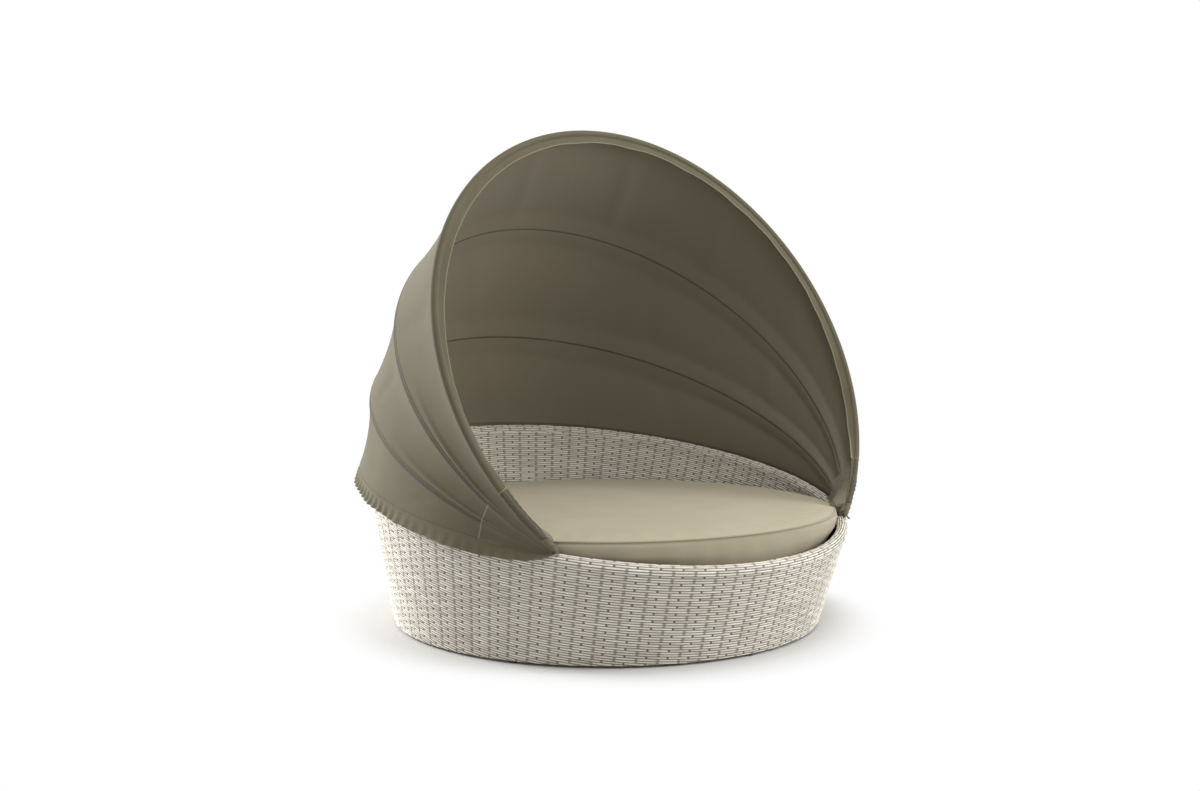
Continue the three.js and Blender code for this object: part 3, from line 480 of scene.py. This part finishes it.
def canvas_material(name, colour, light, painted_shade, thread_and_highlight, painted_lit_inside, roughness):
    """Woven canvas: a plain weave with a slow drift of tone. The mesh's attributes steer it:
    painted shade darkens it within 3.5 mm of a seam, the thread's colour shows within 2.2 mm of a
    line of stitches and, on the skirt beside the tips, as a painted highlight along its fold, the
    inside is painted a lighter colour as painted light, and each unit of band paints shade a fifth
    dimmer. Threads of 0.5 mm are drawn 2.5 mm wide, so that they show."""
    material, tree, bsdf = start_material(name, Roughness=roughness, Sheen_Weight=0.12,
                                          Sheen_Roughness=0.5, Specular_IOR_Level=0.2)
    place = add_node(tree, "TexCoord").outputs["Object"]
    uv = add_node(tree, "UVMap", {"uv_map": "UVMap"})
    seam, inside, band, stitch = (
        add_node(tree, "Attribute", {"attribute_name": key}).outputs["Fac"]
        for key in ("seam", "inside", "band", "stitch"))
    drift = add_node(tree, "TexNoise", {"Scale": 1 / 0.22, "Detail": 2.0}, {"Vector": place})
    fleck = add_node(tree, "TexNoise", {"Scale": 1 / 0.004, "Detail": 2.0}, {"Vector": place})
    mixed = add_node(tree, "Math", {"operation": "MULTIPLY_ADD", 1: 0.35}, {0: fleck, 2: drift})
    tone = add_node(tree, "MapRange", {"From Min": 0.4, "From Max": 0.95}, {"Value": mixed})
    cloth = add_node(tree, "Mix", {"data_type": "RGBA", "A": linear(colour),
                                   "B": linear(light)}, {0: tone})
    # Painted light: the inner skins are mixed 85% towards the lighter inside colour.
    side = add_node(tree, "Math", {"operation": "MULTIPLY", 1: 0.85}, {0: inside})
    faced = add_node(tree, "Mix", {"data_type": "RGBA", "B": linear(painted_lit_inside)}, {0: side, "A": cloth})
    # Painted shade: each unit of the band value dims the colour by a fifth.
    dim = add_node(tree, "Math", {"operation": "MULTIPLY_ADD", 1: -0.2, 2: 1.0}, {0: band})
    faced = add_node(tree, "VectorMath", {"operation": "SCALE"}, {0: faced, "Scale": dim})
    # Painted shade: within 3.5 mm of a seam the colour is mixed up to 55% towards the dark colour.
    fold = add_node(tree, "MapRange", {"From Min": 0.0035, "From Max": 0.0010, "To Max": 0.55},
                    {"Value": seam})
    with_painted_seam_shade = add_node(tree, "Mix", {"data_type": "RGBA", "B": linear(painted_shade)}, {0: fold, "A": faced})
    # The thread's colour beside a line of stitches; beside the skirt's tips the line is a painted
    # highlight.
    near = add_node(tree, "MapRange", {"From Min": 0.0022, "From Max": 0.0008, "To Max": 0.5},
                    {"Value": stitch})
    here = add_node(tree, "Math", {"operation": "GREATER_THAN", 1: 0.0}, {0: stitch})
    sewn_and_highlit = add_node(tree, "Math", {"operation": "MULTIPLY"}, {0: near, 1: here})
    threaded_and_highlit = add_node(tree, "Mix", {"data_type": "RGBA", "B": linear(thread_and_highlight)},
                        {0: sewn_and_highlit, "A": with_painted_seam_shade})
    warp, weft = (add_node(tree, "TexWave", {"bands_direction": axis, "Distortion": 0.4,
                                             "Scale": WAVE_PERIOD / 0.0025}, {"Vector": uv})
                  for axis in "XY")
    both = add_node(tree, "Math", {"operation": "ADD"},
                    {0: warp.outputs["Fac"], 1: weft.outputs["Fac"]})
    finish_material(tree, bsdf, threaded_and_highlit, both, 0.10, 0.0004)
    return material


cushion.data.materials.append(canvas_material(
    "khaki_polyester_canvas", colour="#b3aa91", light="#bcb29a", painted_shade="#887e69",
    thread_and_highlight="#cfc7b2", painted_lit_inside="#b3aa91", roughness=0.9))
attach(cushion, "tub")
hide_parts("cushion_cover", "cushion_base_panel", "cushion_foam_core")

# Canopy panels: olive acrylic canvas, cut in three lengths and sewn to the bow sleeves. Each is
# stretched between two bows, so it hollows a little, and gathers towards the two tips.
MEETING_BACK = 0.620    # from the rim's centre forward to the line where the bow planes meet
# half the width at which the circles of all bows meet that line, just inside the rim
HALF_SPAN = math.sqrt(RIM_RADIUS ** 2 - MEETING_BACK ** 2) - 0.0093
MEETING = RIM_CENTRE - MEETING_BACK * BACK
# lean of each bow's plane from the rim's, and radius of the cloth over it
BOWS = {"rim": (0.0, 0.914), "lower": (math.radians(15.1), 0.914),
        "upper": (math.radians(35), 0.917), "front": (math.radians(55.2), 0.921)}
TUBE_DEPTH = 0.011      # middle of a bow's tube inside the cloth
FABRIC = 0.0016
NO_SEAM, NO_STITCH = 0.03, 1.0      # distances at which neither shows
SLACK = 0.06            # by which a panel hollows, as a share of its width
CREASE_DEPTH, CREASE_SPREAD, CREASE_LEAN = 0.006, 0.035, 0.16

# Heights in a bow's plane from the meeting line: the cloth's tip, the moving band's end, the
# tube's end and the stitched edge of the corner patch.
TIP, BAND_START, TUBE_START, PATCH = 0.016, 0.056, 0.1303, 0.219
PATCH_SHARE = 0.1066    # share of a panel's length at which that edge crosses it
PATCH_STEP = 0.0006     # in that share, between the columns beside the edge
SHUT_GAP, SEAM_GAP, RIM_GAP = 0.0002, 0.0012, 0.003     # from a panel to a bow's plane
SOCKET_BULGE = 0.0018   # of the cloth over the sockets of the bow ends
POCKET = 0.0247         # depth of the cloth that passes inside a bow's tube
POCKET_REACH = 0.107    # angle beside a bow, in radians, over which that cloth comes in
GROOVE = 0.0032         # depth of the inner seam lines
END_STEPS, TUBE_STEPS = 3, 30   # of the bow's polygon in the CAD: past each end, along its tube
STEPS = TUBE_STEPS + 2 * END_STEPS


def centre_back(radius):
    """Distance from the meeting line to the middle of a circle of this radius through its ends."""
    return np.sqrt(radius ** 2 - HALF_SPAN ** 2)


def on_bow(angle, radius, depth, turn, lift=0.0):
    """A point of the bow's plane that leans at an angle from the rim's plane.

    It stands on the circle of the radius less the depth, at a turn round the circle's middle,
    and a lift square to the plane.
    """
    along = centre_back(radius) + (radius - depth) * np.sin(turn)
    x = (radius - depth) * np.cos(turn)
    back = along * np.cos(angle) - lift * np.sin(angle)
    up = along * np.sin(angle) + lift * np.cos(angle)
    x, back, up = np.broadcast_arrays(x, back, up)
    return MEETING + x[..., None] * ACROSS + back[..., None] * BACK + up[..., None] * UP


def turn_at(radius, share):
    """Turn round the circle for a share of the cloth's length: three steps from the tip to the
    start of the tube, thirty along it, and three to the other tip."""
    first = np.arcsin((TUBE_START - centre_back(radius)) / (radius - TUBE_DEPTH))
    tip = np.arcsin((TIP - centre_back(radius)) / radius)
    step = share * STEPS - END_STEPS
    rising = first - (tip - first) * step / END_STEPS
    falling = math.pi - first - (tip - first) * (step - TUBE_STEPS) / END_STEPS
    level = first + (math.pi - 2 * first) * step / TUBE_STEPS
    return np.where(step < 0, rising, np.where(step > TUBE_STEPS, falling, level))


def bell(value, middle, spread):
    """1 at the middle, falling off as the exponential of minus the squared share of the spread."""
    return np.exp(-((value - middle) / spread) ** 2)


# Its inside colour, lighter than the cloth, is painted light for the canopy's inside.
canopy_cloth = canvas_material(
    "olive_acrylic_canvas", colour="#615a49", light="#6a6350", painted_shade="#302b21",
    thread_and_highlight="#a8a08a", painted_lit_inside="#7b7464", roughness=0.88)


def canvas_piece(name, outer, inner, uv, closed=False, **values):
    """A sheet of the canopy's canvas, with an outer and an inner skin joined all round. A value
    is a number or a grid for both skins, or a pair with one for each."""
    both = {}
    for key, value in values.items():
        skins = value if isinstance(value, tuple) else (value, value)
        first, second = (np.broadcast_to(skin, outer.shape[:2]) for skin in skins)
        both[key] = np.concatenate([first, second[::-1]])
    piece = lay_mesh(name, np.concatenate([outer, inner[::-1]]),
                     np.concatenate([uv, uv[::-1], uv[:1]]), closed_rows=True,
                     closed_columns=closed, caps=None if closed else "strip", **both)
    piece.data.materials.append(canopy_cloth)
    return piece


def soft_creases(creases, fold, run, part, along, middle):
    """Depth of shallow creases across a panel: each a bell along the run, which leans across it.
    Near the corners one more fold stands up beside the panel's lower seam."""
    total = 0 * run
    for place, scale in creases:
        offset = run - place * run[:, -1:] - CREASE_LEAN * (part - 0.5)
        total = total + scale * CREASE_DEPTH * bell(offset, 0, CREASE_SPREAD) * middle
    beside = ramp(along, 0.75, -0.3) * ramp(along, 0.16, 0.1)
    return total - fold * bell(part, 0.17, 0.05) * beside


def canopy_panel(name, low, high, creases):
    """A sheet between two bow planes, hollowed by the slack times its width times 4a(1 - a),
    where a is the share across it, with the creases' depth added. Its inner face is one cloth
    in. Towards a bow the pocket's cloth leaves it, by a parabola, and passes inside the tube,
    with a groove in each side of the seam. The corner patches stand 1.2 mm proud outside, up to
    their stitched edge, where the columns are close."""
    (low_angle, low_radius), (high_angle, high_radius) = BOWS[low], BOWS[high]
    on_rim, has_patch = low == "rim", high != "front"
    low_gap, fold = (RIM_GAP, 0.0) if on_rim else (SEAM_GAP, 0.0045)
    edge = PATCH_SHARE + PATCH_STEP * np.arange(-2, 5)
    share = np.unique(np.concatenate([np.linspace(0, 1, 281), edge, 1 - edge]))[None]
    across = (0.5 - 0.5 * np.cos(np.linspace(0, math.pi, 33)))[:, None]
    radius = low_radius + (high_radius - low_radius) * across
    turn = turn_at(radius, share)
    along = centre_back(radius) + radius * np.sin(turn)
    width = high_angle - low_angle
    open_seam = ramp(along, PATCH, 0.01)
    start, end = (np.minimum((SHUT_GAP + (gap - SHUT_GAP) * open_seam) / along, width * 0.3)
                  for gap in (low_gap, SEAM_GAP))
    angle = low_angle + start + (width - start - end) * across
    part = (angle - low_angle) / width
    hollow = SLACK * along * width * 4 * part * (1 - part)
    outer = on_bow(angle, radius, hollow, turn)
    run, width_run = lengths(outer, 1), lengths(outer, 0)
    from_high = width_run[-1:] - width_run
    from_seam = np.minimum(width_run, from_high)
    patch = 0.0012 * has_patch * ramp(along, PATCH, -0.0015)
    patch = patch + SOCKET_BULGE * bell(along, 0.130, 0.018)
    hollow = hollow + soft_creases(creases, fold, run, part, along, ramp(from_seam, 0.03, 0.06))
    outer = on_bow(angle, radius, hollow - patch, turn)
    lined = hollow + FABRIC
    for bow, edge in ((low, width_run), (high, from_high)):
        if bow in ("lower", "upper"):
            pocket = POCKET * (1 - (edge / (POCKET_REACH * along)) ** 2)
            lined = 0.5 * (lined + pocket + np.sqrt((lined - pocket) ** 2 + 0.0015 ** 2))
            lined = np.where(edge < 0.013, np.maximum(lined, POCKET), lined)
    from_edge = (0.5 - np.abs(part - 0.5)) * along * width
    groove = np.clip(GROOVE - from_edge, 0, 1) * open_seam / along
    groove = np.where(part < 0.5, 0 * groove if on_rim else groove, -groove)
    inner = on_bow(angle + groove, radius, lined, turn)
    # Distance from the bow seams, within which the canvas paints shade; none on the rim's side and
    # none towards the tips.
    seam = (from_high if on_rim else from_seam) + 0.02 * ramp(along, PATCH, -0.01)
    stitch = np.abs(PATCH - 0.0015 - along) + (0 if has_patch else NO_STITCH)
    # Painted shade on the outer skin: up to 16% dimmer towards the tips, half as much at the seams.
    painted_tip_shade = 0.8 * ramp(along, 0.42, -0.3) * np.maximum(ramp(from_seam, 0, 0.02), 0.5)
    # The inner skin takes the lighter inside colour, painted light.
    piece = canvas_piece(name, outer, inner, np.stack([run, width_run], -1), seam=seam,
                         band=(painted_tip_shade, 0), stitch=(stitch, NO_STITCH), inside=(0, 1), part=part)
    return piece, float(run[16, -1]), float(width_run[-1, 150])


def follow_panel(piece):
    """Bakes a cloth's placement into its mesh and reads each point's share of the angle between
    bows. Nothing uses the shares, so the cloth does not bend with its panel.
    """
    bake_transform(piece)
    shares = np.zeros(len(piece.data.vertices), np.float32)
    piece.data.attributes["part"].data.foreach_get("value", shares)


# Each panel between two bows, with the share of its length and the depth of every crease.
PANELS = (
    ("rear", "rim", "lower", ((0.12, 1), (0.3, -0.6), (0.5, 0.5), (0.7, -0.6), (0.88, 1))),
    ("middle", "lower", "upper", ((0.2, 0.8), (0.35, -0.6), (0.55, 0.6), (0.78, 0.9))),
    ("front", "upper", "front",
     ((0.22, 0.8), (0.33, 1), (0.44, 1), (0.55, 0.8), (0.66, 1), (0.78, 0.8))),
)
for place, low, high, creases in PANELS:
    panel, run, width = canopy_panel(f"canopy_{place}_panel_cloth", low, high, creases)
    follow_panel(panel)
    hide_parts(f"canopy_{place}_panel")

# Bow sleeves: pockets of the same canvas sewn inside the canopy, in which the lower and upper
# bows slide. The panels' cloth runs over them, so that inside only a seam line shows, darkened
# with painted shade.
SLEEVE_ROUND = 0.078    # flat width of a sleeve


def bow_sleeve(bow):
    """A thin tube of cloth round a bow, carried along it: a flattened ring, 28 mm wide, whose
    outer side lies under the panels' seam. Its inner skin is half a cloth in."""
    angle, radius = BOWS[bow]
    ends = END_STEPS / STEPS, (STEPS - END_STEPS) / STEPS
    turn = turn_at(radius, np.linspace(*ends, 241))[:, None]
    psi = np.linspace(0, 2 * math.pi, 29)[:-1][None]
    skins = []
    for less in (0.0, FABRIC / 2):
        depth = TUBE_DEPTH - (0.0126 - less) * np.sign(np.cos(psi)) * np.abs(np.cos(psi)) ** 0.8
        depth = np.maximum(depth, 0.0010 + less)
        lift = (0.0138 - less) * np.sign(np.sin(psi)) * np.abs(np.sin(psi)) ** 0.8
        skins.append(on_bow(angle, radius, depth + 0 * turn, turn, lift))
    run = lengths(skins[0], 0)[:, 0]
    uv = np.stack(np.meshgrid(run, np.linspace(0, SLEEVE_ROUND, 29), indexing="ij"), -1)
    # Painted shade and light: at a seam distance of 0 the whole sleeve is mixed 55% towards the
    # dark seam colour, and it takes the lighter inside colour.
    return canvas_piece(f"{bow}_bow_pocket", *skins, uv, closed=True, seam=0, inside=1), run[-1]


for bow in ("lower", "upper"):
    sleeve, run = bow_sleeve(bow)
    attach(sleeve, f"{bow}_bow")
    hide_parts(f"{bow}_bow_sleeve")

# Front facing: a doubled band of canvas, 52 mm wide, folded round the front bow and stitched
# along its inner edge.
BAND = 0.052
SLEEVE_WIDTH = 0.0222   # part of the band's width that is its round sleeve
FLAP_ROOT = 0.0112      # from the tube's middle to where the flap leaves the sleeve
PUCKER = 0.017          # from pucker to pucker under the corner patch


def front_facing():
    """A round sleeve that runs out into a flat flap, carried along the bow. Towards the corners
    the flap turns back by 35 degrees, and under the corner patch it narrows to little more than
    the sleeve. It waves at the top, where the cloth is eased round, and puckers at the patch."""
    angle, radius = BOWS["front"]
    low = math.asin((BAND_START - centre_back(radius)) / (radius - TUBE_DEPTH))
    edge = math.asin((PATCH - centre_back(radius)) / (radius - TUBE_DEPTH))
    near = np.array([-0.004, -0.002, 0, 0.002])
    turn = np.unique(np.concatenate([np.linspace(low, math.pi - low, 421), edge + near,
                                     math.pi - edge - near]))[:, None]
    along = centre_back(radius) + (radius - TUBE_DEPTH) * np.sin(turn)
    width = np.interp(along, [BAND_START, 0.1, 0.13, 0.19, 0.218, 0.221, 0.35, 0.6],
                      [0.023, 0.031, 0.030, 0.033, 0.034, 0.038, 0.048, BAND])
    size = np.where(along > PATCH, 0.0124, 0.0113)
    size = size + SOCKET_BULGE * ramp(along, 0.15, -0.01) * ramp(along, 0.09, 0.01)
    fold = math.radians(35) * ramp(along, PATCH, 0.10) * ramp(along, 1.0, -0.5)
    pucker = ramp(along, 0.24, -0.02)
    psi = np.radians(np.concatenate([np.linspace(0, 165, 12), np.linspace(195, 345, 11)]))
    reach = np.linspace(0.16, 1, 9)
    phase = 2 * math.pi * along / PUCKER
    ring = size * (1 + 0.10 * pucker * np.sin(phase + 2 * np.sin(psi)))
    ring_out, ring_lift = ring * np.cos(psi), ring * np.sin(psi)
    flap = (width - SLEEVE_WIDTH) * reach
    share = (turn - low) / (math.pi - 2 * low)
    wave = 0.0030 * np.sin(2 * math.pi * 17 * share + 2 * np.sin(9 * share)) * bell(share, 0.5, 0.2)
    wave = wave + 0.0012 * np.sin(2 * math.pi * 31 * share + 1) * (1 - pucker)
    wave = (wave + 0.0012 * np.sin(phase) * pucker) * reach ** 1.3
    flap_out, flap_lift = -FLAP_ROOT - flap * np.cos(fold), wave - flap * np.sin(fold)
    thick = 0.0019 + 0.0008 * (1 - reach)
    out = np.concatenate([ring_out[:, :12], flap_out, flap_out[:, ::-1], ring_out[:, 12:]], 1)
    lift = np.concatenate([ring_lift[:, :12], flap_lift + thick, flap_lift[:, ::-1] - thick[::-1],
                           ring_lift[:, 12:]], 1)
    beside = np.radians([np.linspace(167, 179, 9), np.linspace(181, 193, 9)])
    bore_psi = np.concatenate([psi[:12], *beside, psi[12:]])[None]
    bore = 0.0096 * np.maximum(ramp(along, BAND_START, 0.004), 0.05)
    square = ramp(along, 0.2, -0.1)
    skins = []
    for outward, sideways in ((out, lift), (bore * np.cos(bore_psi), bore * np.sin(bore_psi))):
        depth = TUBE_DEPTH - outward + 0 * turn
        level = np.arcsin(np.clip((along - centre_back(radius)) / (radius - depth), -1, 1))
        level = np.where(turn > math.pi / 2, math.pi - level, level)
        skins.append(on_bow(angle, radius, depth, turn + square * (level - turn), sideways))
    run = lengths(skins[0], 0)[:, 0]
    path = np.append(lengths(np.stack([out[200], lift[200]], -1), 0), 0.15)
    on_flap = np.concatenate([np.zeros(12), reach, reach[::-1], np.zeros(11)])
    hem = np.where((on_flap > 0) & (along > PATCH),
                   np.abs((width - SLEEVE_WIDTH) * (1 - on_flap) - 0.004) + 1e-5, NO_STITCH)
    stitch = np.minimum(hem, np.abs(along - PATCH - 0.002) + 1e-5)
    uv = np.stack(np.meshgrid(run, path, indexing="ij"), -1)
    # Painted shade: the whole band is 18% dimmer, and 30% dimmer from just under the corner patch
    # to the tips.
    piece = canvas_piece("front_bow_band", *skins, uv, closed=True, seam=NO_SEAM,
                         band=0.9 + 0.6 * ramp(along, PATCH, -0.01),
                         stitch=(stitch, NO_STITCH))
    return piece, float(run[-1])


facing, run = front_facing()
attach(facing, "front_bow")
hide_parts("front_bow_facing")

# Skirt: a gathered strip of canvas sewn to the rear panel, which hangs over the woven rim.
DROP = 0.046
CLEAR_OF_ROLL = 0.9112  # radius at which the strip hangs past the roll


def skirt_cloth():
    """A strip round the rim from tip to tip, out over the roll and down to the hem, where it
    stands out in gathers of uneven width, deeper round the back than beside the tips."""
    share = np.linspace(0, 1, 1201)[None]
    radius = BOWS["rim"][1]
    tip = math.asin((TIP - MEETING_BACK) / RIM_RADIUS)
    angle = tip + (math.pi - 2 * tip) * share
    shift = centre_back(radius) - MEETING_BACK
    cloth = shift * np.sin(angle) + np.sqrt(radius ** 2 - (shift * np.cos(angle)) ** 2)
    along = MEETING_BACK + cloth * np.sin(angle)
    seam_up = np.minimum(0.003, 0.3 * BOWS["lower"][0] * along) - 0.0003
    drop = np.interp(along, [TIP, 0.03, 0.05, 0.07, 0.1, 0.133, 0.2, 0.235],
                     [0.005, 0.010, 0.019, 0.027, 0.031, 0.036, 0.044, DROP])
    clear = np.maximum(cloth, CLEAR_OF_ROLL)
    fold = 0.0025 * (1 - np.cos(2 * math.pi * 18 * share))
    gathered = ramp(share, 0.88, -0.1) * ramp(share, 0.12, 0.1)
    fine = (0.0008 + 0.0034 * gathered) * np.sin(
        2 * math.pi * 97 * share + 1.7 * np.sin(2 * math.pi * 5 * share))
    v = np.linspace(0, 1, 19)[:, None]
    height = np.interp(v, [0, 0.3, 0.75, 1], [0, 1, 2, 3])
    ups = [seam_up, np.maximum(-0.010, -0.3 * drop), -0.7 * drop, -drop]
    outs = [cloth, clear, clear + (0.008 + fold) / 2, clear + 0.008 + fold]
    k = np.clip(np.floor(height).astype(int), 0, 2)
    f = height - k
    up, out = (sum((k == m) * (way[m] * (1 - f) + way[m + 1] * f) for m in range(3))
               for way in (ups, outs))
    out = out + fine * np.clip(v * 1.4 - 0.2, 0, 1) + 0.0008 * (v > 0.88)
    outer, inner = (rim_point(angle + 0 * v, out - less, up) for less in (0.0, FABRIC))
    run, fall = lengths(outer, 1), lengths(outer, 0)
    # Painted shade along the top seam and, fainter, along the hem, but none beside the tips.
    seam = np.minimum(fall + 0.002, np.abs(fall[-1:] - fall) + 0.003)
    seam = np.where(along < PATCH, NO_SEAM, seam)
    # Painted highlight: beside the tips a light line 1 mm under the top seam, along the fold, in
    # the thread's colour.
    stitch = np.where(along < PATCH, np.abs(fall - 0.001) + 1e-5, NO_STITCH)
    piece = canvas_piece("canopy_skirt_cloth", outer, inner, np.stack([run, fall], -1), seam=seam,
                         stitch=(stitch, NO_STITCH))
    return piece, float(run[9, -1]), float(fall[-1, 600])


skirt, run, fall = skirt_cloth()
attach(skirt, "tub")
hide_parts("canopy_skirt")

# Canopy corners: the doubled ends of the band, which stay on the rim in front of the pivots.


def canopy_corner(side, hand):
    """The band's flattened sleeve, drawn down from where the moving band starts to a small open
    end at the tip: ellipses that narrow, with an inner skin one cloth in."""
    angle, radius = BOWS["front"]
    places = [0.007, 0.014, 0.03, 0.055]
    along = np.linspace(places[0], places[-1], 17)[:, None]
    wide = np.interp(along, places, [0.0035, 0.0065, 0.0105, 0.0125])
    thick = np.interp(along, places, [0.003, 0.006, 0.010, 0.0115])
    psi = np.linspace(0, 2 * math.pi, 33)[:-1][None]
    pucker = 1 + 0.08 * np.sin(2 * math.pi * along / PUCKER + 2 * np.sin(psi))
    skins = []
    for less in (0.0, FABRIC):
        depth = wide - 0.001 - (wide * pucker - less) * np.cos(psi)
        turn = np.arcsin((along - centre_back(radius)) / (radius - depth))
        lift = (thick * pucker - less) * np.sin(psi)
        skins.append(on_bow(angle, radius, depth, turn, lift) * [hand, 1, 1])
    uv = np.stack(np.broadcast_arrays(along, np.linspace(0, 0.07, 33)[None]), -1)
    return canvas_piece(f"canopy_corner_{side}_band", *skins, uv, closed=True, seam=NO_SEAM,
                        stitch=NO_STITCH)


for side, hand in (("right", 1), ("left", -1)):
    corner = canopy_corner(side, hand)
    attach(corner, "tub")
    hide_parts(f"canopy_corner_{side}")

# Corner linings: inside each corner a gusset closes the pocket in which the bow ends turn. It is
# sewn to the three panels, so it is made in three. In each bow's plane the tables give its depth
# under the canopy's outer face, in millimetres, at heights from the meeting line: it rises over
# the pivot and falls to the depth of the sleeves.
TUCK_RISE = np.array([12, 30, 50, 62, 75, 85, 95, 105, 115, 130, 160, 190, 228]) / 1000
TUCK = {"rim": [3, 14, 24, 50, 62, 66, 58, 44, 37, 31, 28, 26, 24.5],
        "lower": [4, 16, 26, 54, 64, 67, 60, 48, 41, 31, 28, 26, 24.5],
        "upper": [4, 14, 24, 48, 56, 60, 60, 52, 44, 31, 28, 26, 24.5],
        "front": [3, 11, 18, 22, 26, 28, 29.5, 30, 30, 28.5, 27, 26, 24.5]}
LINING_STITCH = 0.2255  # height of the line by which a lining is sewn to its panel


def corner_lining(name, low, high, hand):
    """A sheet inside a panel, from the tip to the patch's edge. Between the depths in its two
    bow planes it is stretched flat, and towards its upper edge it lies back on the panel."""
    (low_angle, low_radius), (high_angle, high_radius) = BOWS[low], BOWS[high]
    across = np.linspace(0.004, 0.996, 21)[:, None]
    close = [0.223, 0.2243, LINING_STITCH, 0.2267, 0.228]
    rise = np.append(np.linspace(0.012, 0.2205, 46), close)[None]
    radius = low_radius + (high_radius - low_radius) * across
    width = high_angle - low_angle
    ridges = [np.interp(rise, TUCK_RISE, TUCK[bow]) / 1000 for bow in (low, high)]
    ridge = ridges[0] + (ridges[1] - ridges[0]) * across
    level = SLACK * rise * width * 4 * across * (1 - across) + 0.0055
    back = ramp(rise, 0.185, 0.043) ** 1.5 * np.clip(6 * across * (1 - across), 0, 1)
    pucker = 0.0008 * np.sin(rise * 190 + across * 3)
    depth = ridge + (level - ridge) * back + pucker * ramp(rise, 0.22, -0.05)
    skins = []
    for more in (0.0, FABRIC):
        turn = np.arcsin(np.clip((rise - centre_back(radius)) / (radius - depth - more), -1, 1))
        skin = on_bow(low_angle + width * across, radius, depth + more, turn)
        skins.append(skin * [hand, 1, 1])
    run, width_run = lengths(skins[0], 1), lengths(skins[0], 0)
    # The whole lining takes the lighter inside colour, painted light.
    piece = canvas_piece(name, *skins, np.stack([run, width_run], -1), seam=NO_SEAM,
                         inside=1, stitch=np.abs(LINING_STITCH - rise) + 1e-5, part=across)
    return piece, float(run[10, -1]), float(width_run[-1, 40])


for side, hand in (("right", 1), ("left", -1)):
    for place, low, high, _ in PANELS:
        lining, run, width = corner_lining(f"corner_lining_{place}_{side}", low, high, hand)
        follow_panel(lining)

# Pivots: brushed stainless brackets screwed to the rim tube, with pins, nuts and cranked bow
# ends. Brushing leaves fine lines along the parts, about 0.6 mm apart.
steel, tree, bsdf = start_material("brushed_stainless_steel", Metallic=1.0, Roughness=0.32)
place = add_node(tree, "TexCoord").outputs["Object"]
lines_place = add_node(tree, "Mapping", {"Scale": (1 / 0.0006, 1 / 0.02, 1 / 0.0006)},
                       {"Vector": place})
lines = add_node(tree, "TexNoise", {"Scale": 1.0, "Detail": 2.0}, {"Vector": lines_place})
tone = add_node(tree, "Mix", {"data_type": "RGBA", "A": linear("#a9a9a6"),
                              "B": linear("#c9c9c6")}, {0: lines})
finish_material(tree, bsdf, tone, lines, 0.2, 0.0001)
for side in ("right", "left"):
    dress(steel, f"pivot_bracket_{side}", f"pivot_pin_{side}", f"pivot_nut_{side}",
          f"bracket_screw_{side}_1", f"bracket_screw_{side}_2", f"lower_bow_end_{side}",
          f"upper_bow_end_{side}", f"front_bow_end_{side}")

# Studio: a pale floor that keeps the daybed's shadow and runs out into white, and soft lamps.
FLOOR_REACH, FLOOR_THICK = 14, 0.02


def seen_directly(tree):
    """1 for the rays of the camera, also those off a mirror or through glass, and 0 for light."""
    rays = add_node(tree, "LightPath")
    seen = add_node(tree, "Math", {"operation": "MAXIMUM"},
                    {0: rays.outputs["Is Camera Ray"], 1: rays.outputs["Is Glossy Ray"]})
    return add_node(tree, "Math", {"operation": "MAXIMUM"},
                    {0: seen, 1: rays.outputs["Is Transmission Ray"]})


def soft_box(name, place, aim, size, power):
    """A square lamp that looks at a point."""
    lamp = bpy.data.lights.new(name, "AREA")
    lamp.shape = "RECTANGLE"
    lamp.size, lamp.size_y, lamp.energy = size, size, power
    made = bpy.data.objects.new(name, lamp)
    made.location = place
    made.rotation_euler = (Vector(aim) - Vector(place)).to_track_quat("-Z", "Y").to_euler()
    bpy.context.scene.collection.objects.link(made)


corners = np.array([[[x * FLOOR_REACH, y * FLOOR_REACH, z] for x in (-1, 1)]
                    for y, z in ((-1, -FLOOR_THICK), (-1, 0), (1, 0), (1, -FLOOR_THICK))])
floor = lay_mesh("studio_floor", corners, np.concatenate([corners, corners[:1]])[..., :2],
                 closed_rows=True, caps="strip")
floor.data.polygons.foreach_set("use_smooth", np.zeros(len(floor.data.polygons), bool))
ground, tree, bsdf = start_material("pale_studio_paint", Roughness=0.9, Specular_IOR_Level=0.1,
                                    Base_Color=linear("#d6d5d3"))
position = add_node(tree, "NewGeometry").outputs["Position"]
away = add_node(tree, "VectorMath", {"operation": "LENGTH"}, {0: position})
fade = add_node(tree, "MapRange", {"From Min": 0.80, "From Max": 1.05,
                                   "interpolation_type": "SMOOTHSTEP"}, {"Value": away})
shown = add_node(tree, "Math", {"operation": "MULTIPLY"}, {0: seen_directly(tree), 1: fade})
white = add_node(tree, "Emission", {"Color": (1, 1, 1, 1), "Strength": 1.0})
blend = add_node(tree, "MixShader", {}, {0: shown, 1: bsdf, 2: white})
tree.links.new(blend.outputs["Shader"], tree.nodes["Material Output"].inputs["Surface"])
floor.data.materials.append(ground)

# The sky is white to the camera and half as bright to the daybed.
world = bpy.data.worlds.new("studio")
bpy.context.scene.world = world
world.use_nodes = True
tree = world.node_tree
tree.nodes.clear()
strength = add_node(tree, "MapRange", {"To Min": 0.50, "To Max": 1.0},
                    {"Value": seen_directly(tree)})
sky = add_node(tree, "Background", {"Color": (1, 1, 1, 1)}, {"Strength": strength})
add_node(tree, "OutputWorld", {}, {"Surface": sky})

soft_box("back_left_soft_box", (-2.9, 3.6, 2.4), (0, 0, 0.8), 2.2, 290)
soft_box("right_soft_box", (3.2, -3.4, 1.7), (0, 0, 0.5), 2.2, 110)
soft_box("front_top_soft_box", (0.0, -2.0, 4.0), (0, 0, 0.4), 2.6, 88)

bpy.context.scene.view_settings.view_transform = "Standard"
